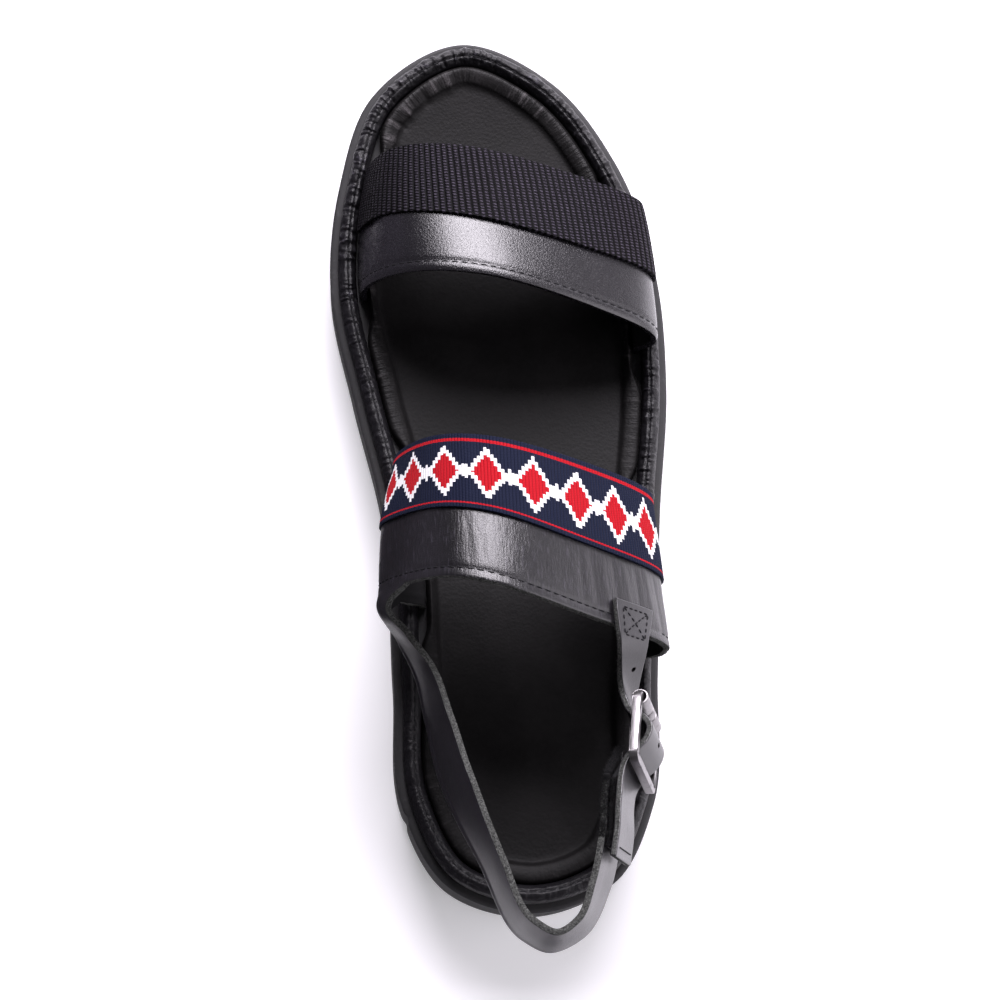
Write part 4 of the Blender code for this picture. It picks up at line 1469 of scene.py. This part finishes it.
def insole_sheet():
    """Cupped footbed inside the rim, cut back where the bands go down."""
    edge = BED_EDGE + (BED_EDGE_AT_STRAP - BED_EDGE) * slot_window(SOLE_SIDES)
    rings = [
        raised(edge_ring(edge, SOLE_SIDES), "rubber", GAP),
        raised(edge_ring(edge, SOLE_SIDES), "rim", -LIP_DROP),
        raised(edge_ring(edge + LIP_ROUND, SOLE_SIDES), "rim", -LIP_CROWN),
        raised(edge_ring(BED_EDGE_AT_STRAP + LIP_WIDTH, SOLE_SIDES), "rim", -LIP_INNER_DROP),
        *(raised(edge_ring(inset, SOLE_SIDES), "bed", lift) for inset, lift in DISH_ROWS),
    ]
    side, rise = profile_of(rings, BED_SIDE_STEPS)
    share = np.arange(SOLE_SIDES) / SOLE_SIDES
    creases = sum(tall * groove(share - middle, width) for middle, width, tall in LIP_CREASES)
    lip = groove(rise - LIP_CREASE_PLACE, LIP_CREASE_REACH)
    lip *= np.clip((rise[-1] - rise) / LIP_CREASE_RUN_OUT, 0.0, 1.0)
    side[:, :, 2] += lip[:, None] * (creases + LIP_UNEVEN * noise_ring(share))[None]

    def top(points, part):
        return height("bed", points[:, :, 1])

    def under(points, part):
        return height("rubber", points[:, :, 1]) + GAP

    return sole_sheet(side, top, under)


def shorter(way):
    """Signed distance round the sole, the shorter way."""
    return (way + EDGE_LENGTH / 2) % EDGE_LENGTH - EDGE_LENGTH / 2


def rim_sheet():
    """Leather-wrapped roll round the footbed, puckered across, with a groove for its stitches."""
    rings = [raised(edge_ring(inset, EDGE_SAMPLES), *level) for inset, *level in RIM_ROWS]
    profile, across = profile_of(rings, RIM_STEPS, closed=True, crowd=RIM_CROWD)
    core = raised(edge_ring((LEDGE + SLOT_OUTER) / 2, EDGE_SAMPLES), "rim", -RIM_CORE_DROP)
    away = profile - core[None]
    away /= np.linalg.norm(away, axis=2, keepdims=True)
    around = np.arange(EDGE_SAMPLES) * EDGE_LENGTH / EDGE_SAMPLES
    turn = across[:, None] / across[-1]
    rng = np.random.default_rng(PUCKER_SEED)
    wrinkles = np.zeros(profile.shape[:2])
    for count, lows, highs in PUCKERS:
        drawn = rng.uniform((0.0, *lows), (EDGE_LENGTH, *highs), (count, 6))
        for middle, lean, width, rise, low, high in drawn:
            near = np.abs(shorter(around - middle)) < 3 * width + abs(lean)
            apart = shorter(around[None, near] - middle - lean * (turn - 0.4))
            fade = np.clip(np.minimum(turn - low, high - turn) / 0.05 + 0.5, 0.0, 1.0)
            wrinkles[:, near] += rise * fade * groove(apart, width)
    metres = np.stack(np.broadcast_arrays(around[None], across[:, None]), axis=2)
    table = np.array(PUCKER_ROWS)
    strength = smooth(table[:, 0], table[:, 1], around / EDGE_LENGTH, period=1.0)[None]
    streaks = ripple(metres * (0.12, 1.0), *RIM_STREAKS) * (1 - strength)
    lumps = ripple(metres, *RIM_LUMPS) + 0.5 * ripple(metres, *RIM_SMALL_LUMPS)
    folds = np.tanh(wrinkles) * strength + 0.45 * lumps * (0.35 + 0.65 * strength) + 0.35 * streaks
    deep, wide = RIM_GROOVE
    lift = sizes().pucker_depth * folds - deep * groove(turn - RIM_STITCH_SHARE, wide)
    shown = np.clip((profile[:, :, 2] - core[None, :, 2]) / RIM_SHOWN, 0.0, 1.0)
    grid = profile + away * (lift * shown)[:, :, None]
    # Lighter where the folds stand up, most on the inner side towards the toe: partly scuffs, partly painted
    # highlights
    wear = np.clip(folds * 1.6 - 0.35, 0.0, 1.0) * shown * (0.25 + 0.75 * strength)
    return grid, wear, across, around


def closed_ring(grid, metres_across, metres_around):
    """Grid of a ring with its first row and column repeated at the end, and its metres."""
    closed = np.concatenate([grid, grid[:1]])
    closed = np.concatenate([closed, closed[:, :1]], axis=1)
    across = np.append(metres_across, metres_across[-1] + metres_across[1])
    around = np.append(metres_around, metres_around[-1] + metres_around[1])
    return closed, np.stack(np.meshgrid(around, across), axis=2)


# Operators


class SANDAL_OT_outsole(bpy.types.Operator):
    """Make the rubber sole"""

    bl_idname = "sandal.outsole"
    bl_label = "Rubber Sole"

    def execute(self, context):
        item = merged(laid("tread_sole", *outsole_sheet()))
        shaded(item, [sole_rubber()])
        bpy.ops.object.shade_smooth_by_angle(angle=radians(55))
        dressed(item, "dark_rubber", "outsole")
        return {"FINISHED"}


class SANDAL_OT_rim(bpy.types.Operator):
    """Make the leather-wrapped rim"""

    bl_idname = "sandal.rim"
    bl_label = "Footbed Rim"

    def execute(self, context):
        grid, wear, across, around = rim_sheet()
        item = laid("wrapped_rim", *closed_ring(grid, across, around))
        marked(item, "wear", closed_ring(wear, across, around)[0])
        merged(item)
        shaded(item, [rim_leather()])
        dressed(item, "rim_leather", "footbed_rim")
        return {"FINISHED"}


class SANDAL_OT_insole(bpy.types.Operator):
    """Make the cupped leather footbed"""

    bl_idname = "sandal.insole"
    bl_label = "Footbed"

    def execute(self, context):
        grid, metres = insole_sheet()
        item = laid("cupped_footbed", grid, metres)
        level = grid[:, :, 2]
        # Ridges of the lip's creases, which the footbed's look paints with highlights
        padded = np.pad(level, ((LIP_SPAN, LIP_SPAN), (0, 0)), mode="reflect")
        around = np.mean([padded[step : step + len(level)] for step in range(2 * LIP_SPAN + 1)], axis=0)
        ridges = np.clip((level - around) / LIP_RIDGE, 0.0, 1.0)
        lip = np.clip((level - height("bed", grid[:, :, 1]) - LIP_FOOT) / LIP_RISE, 0.0, 1.0)
        front = np.clip(grid[:, :, 1] / SOLE_LENGTH * 3 - 1.2, 0.2, 1.0)
        marked(item, "lip", lip * front)
        marked(item, "ridges", lip * front * ridges)
        merged(item)
        shaded(item, [insole_leather()])
        dressed(item, "insole_leather", "insole")
        return {"FINISHED"}


class SANDAL_OT_toe_band(bpy.types.Operator):
    """Make the leather of the toe band"""

    bl_idname = "sandal.toe_band"
    bl_label = "Toe Band"

    def execute(self, context):
        leather = smooth_leather()
        looks = [leather, lining(), leather]
        wall = sizes().strap_wall
        strapped("toe_band_leather", toe_band_sheet(), looks, wall, TOE_EASE, "black_leather", "toe_strap")
        return {"FINISHED"}


class SANDAL_OT_toe_webbing(bpy.types.Operator):
    """Make the ribbed webbing on the toe band"""

    bl_idname = "sandal.toe_webbing"
    bl_label = "Toe Webbing"

    def execute(self, context):
        size = sizes()
        grid, metres = overlay_sheet(TOE_BAND_ROWS, SEAM_SHARE_TOE, size.webbing_wall, WEBBING_COUNTS)
        along, across = metres[:, :, 0], metres[:, :, 1]
        ribs = np.abs(np.sin(pi * along / size.webbing_rib)) ** 0.6
        floats = np.sin(2 * pi * (across / size.webbing_dash + np.floor(along / size.webbing_rib) / 2))
        relief = size.webbing_relief * (ribs - 0.6) + 0.15 * size.webbing_relief * floats * ribs
        relief *= np.clip(np.minimum(across, across.max() - across) / WEBBING_SELVEDGE, 0.0, 1.0)
        sheet = grid + outward_of(grid) * relief[:, :, None], metres
        looks = [webbing_weave()] * 3
        wall = size.webbing_wall
        strapped("toe_band_webbing", sheet, looks, wall, WEBBING_EASE, "black_webbing", "toe_webbing")
        return {"FINISHED"}


class SANDAL_OT_instep_band(bpy.types.Operator):
    """Make the leather of the instep band and the heel strap that is cut in one with it"""

    bl_idname = "sandal.instep_band"
    bl_label = "Instep Band and Heel Strap"

    def execute(self, context):
        edge = cut_edge()
        inner = lining()
        looks = [stretched_leather(), inner, edge]
        looks += [strap_leather("heel_strap_leather", 0.75), inner, edge]
        looks += [hook_weave()] * 3
        heel_look, hook_look = 3, 6
        band, metres = instep_band_sheet()
        strap = shaded(laid("heel_strap", *heel_strap_sheet(band)), looks)
        faces = np.full((HEEL_ROWS_ALONG, len(strap.data.polygons) // HEEL_ROWS_ALONG), heel_look)
        faces[:HOOKED_ROWS] = hook_look
        strap.data.polygons.foreach_set("material_index", faces.ravel())
        item = shaded(laid("instep_band_leather", band, metres), looks)
        strap.select_set(True)
        bpy.ops.object.join()
        merged(item, closed=False)
        thickened(item, sizes().strap_wall, STRAP_EASE)
        merged(item)
        dressed(item, "black_leather", "instep_heel_strap")
        return {"FINISHED"}


class SANDAL_OT_instep_braid(bpy.types.Operator):
    """Make the woven braid on the instep band"""

    bl_idname = "sandal.instep_braid"
    bl_label = "Instep Braid"

    def execute(self, context):
        size = sizes()
        grid, metres = overlay_sheet(INSTEP_BAND_ROWS, SEAM_SHARE_INSTEP, size.braid_wall, BRAID_COUNTS)
        along = metres[:, :, 0]
        ribs = np.abs(np.sin(pi * along / size.braid_rib)) ** 0.8
        relief = size.braid_relief * (ribs - 0.6) * 2
        sheet = grid + outward_of(grid) * relief[:, :, None], metres
        looks = [braid_weave(metres[:, :, 1].max())] * 3
        wall = size.braid_wall
        strapped("instep_band_braid", sheet, looks, wall, TAPE_EASE, "navy_braid", "instep_ribbon")
        return {"FINISHED"}


class SANDAL_OT_buckle_strap(bpy.types.Operator):
    """Make the strap that runs through the buckle"""

    bl_idname = "sandal.buckle_strap"
    bl_label = "Buckle Strap"

    def execute(self, context):
        grid, metres = buckle_strap_sheet()
        item = laid("buckle_strap_leather", grid, metres)
        shaded(item, [strap_leather("buckle_strap_leather", 1.0), lining(), cut_edge()])
        thickened(item, sizes().strap_wall, STRAP_EASE)
        spots = [((row - 0.01, column), (row + 0.01, column)) for row, column in STRAP_HOLES]
        punched(item, np.concatenate([seam_frames(grid, spot, 0.0, 1.0) for spot in spots]), HOLE_RADIUS)
        dressed(item, "black_leather", "buckle_strap")
        return {"FINISHED"}


class SANDAL_OT_fuzz(bpy.types.Operator):
    """Raise the fibres of the leather's cut edges and of the hook-and-loop tape"""

    bl_idname = "sandal.fuzz"
    bl_label = "Fibres"

    def fibre(self):
        """One fibre, pointed, a metre long and wide before it is scaled."""
        deselect()
        bpy.ops.mesh.primitive_cone_add(vertices=3, radius1=0.5, depth=1.0, location=(0.0, 0.0, 0.5))
        bpy.ops.object.transform_apply(location=True, rotation=True, scale=True)
        return named("fibre")

    def execute(self, context):
        wall = sizes().strap_wall
        rng = np.random.default_rng(FIBRE_SEED)
        band, _ = instep_band_sheet()
        sheets = {
            "band": (band, wall),
            "heel": (heel_strap_sheet(band)[0], wall),
            "strap": (buckle_strap_sheet()[0], wall),
            "tape": (hook_tape_sheet()[0], HOOK_TAPE_WALL),
        }
        groups = (
            ("felt_fibres", FELT_ROWS, cut_edge, "black_leather"),
            ("hook_fibres", HOOK_ROWS, hook_weave, "hook_tape"),
        )
        for name, rows, look, slot in groups:
            frames = []
            for sheet, corners, inward, count, spread, reach in rows:
                grid, thick = sheets[sheet]
                frames.append(fibre_frames(grid, corners, inward, count, spread * thick, reach, rng))
            item = copied(name, self.fibre(), np.concatenate(frames))
            shaded(item, [look()])
            dressed(item, slot)
        return {"FINISHED"}


class SANDAL_OT_hook_tape(bpy.types.Operator):
    """Make the hook-and-loop tape under the end of the buckle strap"""

    bl_idname = "sandal.hook_tape"
    bl_label = "Hook Tape"

    def execute(self, context):
        looks = [hook_weave()] * 3
        sheet = hook_tape_sheet()
        strapped("hook_and_loop_tape", sheet, looks, HOOK_TAPE_WALL, TAPE_EASE, "hook_tape", "hook_tape")
        return {"FINISHED"}


def picked(item, kind, test):
    """Select the edges or the faces of the piece in edit mode that pass a test."""
    work = bmesh.from_edit_mesh(item.data)
    for part in (*work.verts, *work.edges, *work.faces):
        part.select = False
    for part in getattr(work, kind):
        if test(part):
            part.select_set(True)
    bmesh.update_edit_mesh(item.data)


def buckle_placed(item):
    """Take a piece modelled on the buckle's own axes to its place."""
    item.data.transform(Matrix.Translation(ORIGIN) @ buckle_axes())
    item.data.update()


class SANDAL_OT_buckle(bpy.types.Operator):
    """Make the buckle: its frame, the sleeves rolled round the front bar and the eye between them"""

    bl_idname = "sandal.buckle"
    bl_label = "Buckle"

    def frame_bars(self):
        """Plate with a window, its corners rounded and its bars eased."""
        deselect()
        bpy.ops.mesh.primitive_cube_add(size=1.0)
        item = named("buckle_bar_frame")
        bpy.ops.object.mode_set(mode="EDIT")
        bpy.ops.mesh.select_all(action="SELECT")
        bpy.ops.transform.resize(value=(BUCKLE_LENGTH, BUCKLE_WIDTH, BUCKLE_BAR))
        picked(item, "faces", lambda face: abs(face.normal.z) > 0.5)
        bpy.ops.mesh.inset(thickness=BUCKLE_BAR)
        bpy.ops.mesh.bridge_edge_loops()
        outer = BUCKLE_LENGTH / 2 - BUCKLE_BAR / 2

        def upright(edge):
            low, top = edge.verts
            return abs(low.co.z - top.co.z) > BUCKLE_BAR * 0.9

        picked(item, "edges", lambda edge: upright(edge) and abs(edge.verts[0].co.x) > outer)
        bpy.ops.mesh.bevel(offset=BUCKLE_CORNER, segments=6, affect="EDGES")
        picked(item, "edges", lambda edge: upright(edge) and max(abs(end.co.x) for end in edge.verts) < outer)
        bpy.ops.mesh.bevel(offset=WINDOW_CORNER, segments=4, affect="EDGES")
        bpy.ops.object.mode_set(mode="OBJECT")
        eased(item, BAR_EASE, 3, 50)
        return merged(item)

    def sleeve(self, name, start, end):
        """Rolled sleeve with an open seam, round the front bar between two places across it."""
        deselect()
        lying = {"end_fill_type": "NOTHING", "rotation": (pi / 2, 0.0, 0.0)}
        bpy.ops.mesh.primitive_cylinder_add(vertices=48, radius=ROLLER_RADIUS, depth=end - start, **lying)
        bpy.ops.object.transform_apply(location=True, rotation=True, scale=True)
        item = named(name)
        bpy.ops.object.mode_set(mode="EDIT")
        seam = -ROLLER_RADIUS * cos(ROLLER_SEAM)
        picked(item, "faces", lambda face: face.calc_center_median().z < seam)
        bpy.ops.mesh.delete(type="FACE")
        bpy.ops.mesh.select_all(action="SELECT")
        bpy.ops.transform.translate(value=(-(BUCKLE_LENGTH - BUCKLE_BAR) / 2, (start + end) / 2, 0.0))
        bpy.ops.object.mode_set(mode="OBJECT")
        modified(item, "SOLIDIFY", thickness=ROLLER_WALL, offset=0.0)
        eased(item, ROLLER_EASE, 2, 50)
        return item

    def execute(self, context):
        metal = brushed_metal()
        reach = BUCKLE_WIDTH / 2 - BUCKLE_CORNER
        eye = EYE_WIDTH / 2
        made = [
            (self.frame_bars, (), "buckle_frame"),
            (self.sleeve, ("buckle_sleeve_upper", -reach, -eye - GAP), "buckle_roller_upper"),
            (self.sleeve, ("buckle_eye_ring", -eye, eye), "buckle_eye"),
            (self.sleeve, ("buckle_sleeve_lower", eye + GAP, reach), "buckle_roller_lower"),
        ]
        for make, places, node in made:
            item = make(*places)
            buckle_placed(item)
            shaded(item, [metal])
            bpy.ops.object.shade_smooth_by_angle(angle=radians(40))
            dressed(item, "gunmetal", node)
        return {"FINISHED"}


class SANDAL_OT_seams(bpy.types.Operator):
    """Sew the stitches of the bands, the buckle strap and the rim"""

    bl_idname = "sandal.seams"
    bl_label = "Stitches"

    def stitch(self):
        """One stitch: a thread that goes down at both ends."""
        size = sizes()
        deselect()
        bpy.ops.mesh.primitive_uv_sphere_add(segments=6, ring_count=6, radius=0.5)
        item = named("stitch")
        bpy.ops.object.mode_set(mode="EDIT")
        bpy.ops.mesh.select_all(action="SELECT")
        bpy.ops.transform.rotate(value=pi / 2, orient_axis="Y", center_override=(0.0, 0.0, 0.0))
        bpy.ops.transform.resize(value=(size.stitch_length, size.stitch_width, size.stitch_width))
        bpy.ops.object.mode_set(mode="OBJECT")
        return item

    def execute(self, context):
        size = sizes()
        pitch = size.stitch_pitch
        face = size.strap_wall / 2
        toe, toe_metres = toe_band_sheet()
        instep, instep_metres = instep_band_sheet()
        toe_row = TOE_STITCH_INSET / toe_metres[:, :, 1].max()
        instep_row = INSTEP_STITCH_INSET / instep_metres[:, :, 1].max()
        strap, _ = buckle_strap_sheet()
        box = [*zip(BOX_SEAM, BOX_SEAM[1:] + BOX_SEAM[:1]), BOX_SEAM[::2], BOX_SEAM[1::2]]
        rim, _, turn, _ = rim_sheet()
        rim_row = 1 - np.interp(RIM_STITCH_SHARE, turn / turn[-1], np.linspace(0.0, 1.0, len(turn)))

        def sewn(grid, start, end, lift=face, tight=1.0):
            made = seam_frames(grid, (start, end), lift, pitch * tight)
            made[:, :3, 0] *= tight
            return made

        frames = [
            sewn(rim[::-1], (rim_row, 0.0), (rim_row, 1.0), 0.0),
            *(sewn(toe, (toe_row, start), (toe_row, end)) for start, end in TOE_SEAMS),
            *(sewn(instep, (instep_row, start), (instep_row, end)) for start, end in INSTEP_SEAMS),
            *(sewn(strap, *ends, tight=BOX_TIGHT) for ends in box),
            sewn(strap, *END_SEAM, tight=END_TIGHT),
        ]
        item = copied("seam_stitches", self.stitch(), np.concatenate(frames))
        shaded(item, [sewing_thread()])
        dressed(item, "black_leather")
        return {"FINISHED"}


def area_light(name, place, aim, size, energy):
    made = bpy.data.lights.new(name, "AREA")
    made.shape = "RECTANGLE"
    made.size, made.size_y = size
    made.energy = energy
    made.color = LIGHT_TONE
    lamp = bpy.data.objects.new(name, made)
    bpy.context.scene.collection.objects.link(lamp)
    lamp.location = place
    lamp.rotation_euler = (Vector(aim) - Vector(place)).to_track_quat("-Z", "Y").to_euler()


class SANDAL_OT_stage(bpy.types.Operator):
    """Set the pale floor, the soft light and the camera"""

    bl_idname = "sandal.stage"
    bl_label = "Stage"

    def execute(self, context):
        scene = context.scene
        deselect()
        bpy.ops.mesh.primitive_plane_add(size=FLOOR_SIZE)
        floor = named("floor")
        floor.data.materials.append(pale_floor())
        for name, place, size, turn, tone in CARDS:
            bpy.ops.mesh.primitive_cube_add(size=1.0, location=place)
            bpy.ops.transform.resize(value=size)
            bpy.context.object.rotation_euler.z = turn
            bpy.ops.object.transform_apply(location=True, rotation=True, scale=True)
            card = named(name)
            card.data.materials.append(matt_card(name, tone))
            card.visible_camera = card.visible_diffuse = card.visible_shadow = False
        for light in LIGHTS:
            area_light(*light)
        world = bpy.data.worlds.new("soft_room")
        world.use_nodes = True
        nodes = world.node_tree.nodes
        links = world.node_tree.links
        background = nodes["Background"]
        background.inputs["Color"].default_value = (*LIGHT_TONE, 1.0)
        towards = nodes.new("ShaderNodeSeparateXYZ")
        links.new(nodes.new("ShaderNodeTexCoord").outputs["Generated"], towards.inputs[0])
        sides = nodes.new("ShaderNodeMapRange")
        sides.interpolation_type = "SMOOTHSTEP"
        for socket, value in enumerate((*ROOM_REACH, *ROOM_LIGHT), 1):
            sides.inputs[socket].default_value = value
        links.new(towards.outputs[0], sides.inputs[0])
        links.new(sides.outputs[0], background.inputs["Strength"])
        scene.world = world
        scene.view_settings.view_transform = "Standard"
        lens = bpy.data.cameras.new("photograph_camera")
        lens.lens = CAMERA_LENS
        camera = bpy.data.objects.new("photograph_camera", lens)
        scene.collection.objects.link(camera)
        back = (Vector(CAMERA_EYE) - Vector(CAMERA_AIM)).normalized()
        right = Vector(CAMERA_RIGHT)
        right = (right - back * right.dot(back)).normalized()
        turn = Matrix((right, back.cross(right), back)).transposed()
        camera.location = CAMERA_EYE
        camera.rotation_euler = turn.to_euler()
        scene.camera = camera
        return {"FINISHED"}


PIECES = (
    SANDAL_OT_outsole,
    SANDAL_OT_rim,
    SANDAL_OT_insole,
    SANDAL_OT_toe_band,
    SANDAL_OT_toe_webbing,
    SANDAL_OT_instep_band,
    SANDAL_OT_instep_braid,
    SANDAL_OT_buckle_strap,
    SANDAL_OT_hook_tape,
    SANDAL_OT_buckle,
    SANDAL_OT_seams,
    SANDAL_OT_fuzz,
    SANDAL_OT_stage,
)


class SANDAL_PT_panel(bpy.types.Panel):
    """Lists the pieces of the sandal with their sizes and colours"""

    bl_idname = "SANDAL_PT_panel"
    bl_label = "Strap Sandal"
    bl_space_type = "VIEW_3D"
    bl_region_type = "UI"
    bl_category = "Sandal"

    def draw(self, context):
        column = self.layout.column()
        for piece in PIECES:
            column.operator(piece.bl_idname)
        for group in (context.scene.sandal_sizes, context.scene.sandal_colours):
            for key in group.__annotations__:
                column.prop(group, key)


CLASSES = (SandalSizes, SandalColours, *PIECES, SANDAL_PT_panel)


def register():
    for item in CLASSES:
        bpy.utils.register_class(item)
    bpy.types.Scene.sandal_sizes = PointerProperty(type=SandalSizes)
    bpy.types.Scene.sandal_colours = PointerProperty(type=SandalColours)


def unregister():
    del bpy.types.Scene.sandal_colours
    del bpy.types.Scene.sandal_sizes
    for item in reversed(CLASSES):
        bpy.utils.unregister_class(item)


def main():
    register()
    for piece in PIECES:
        group, name = piece.bl_idname.split(".")
        getattr(getattr(bpy.ops, group), name)()


if __name__ == "__main__":
    main()
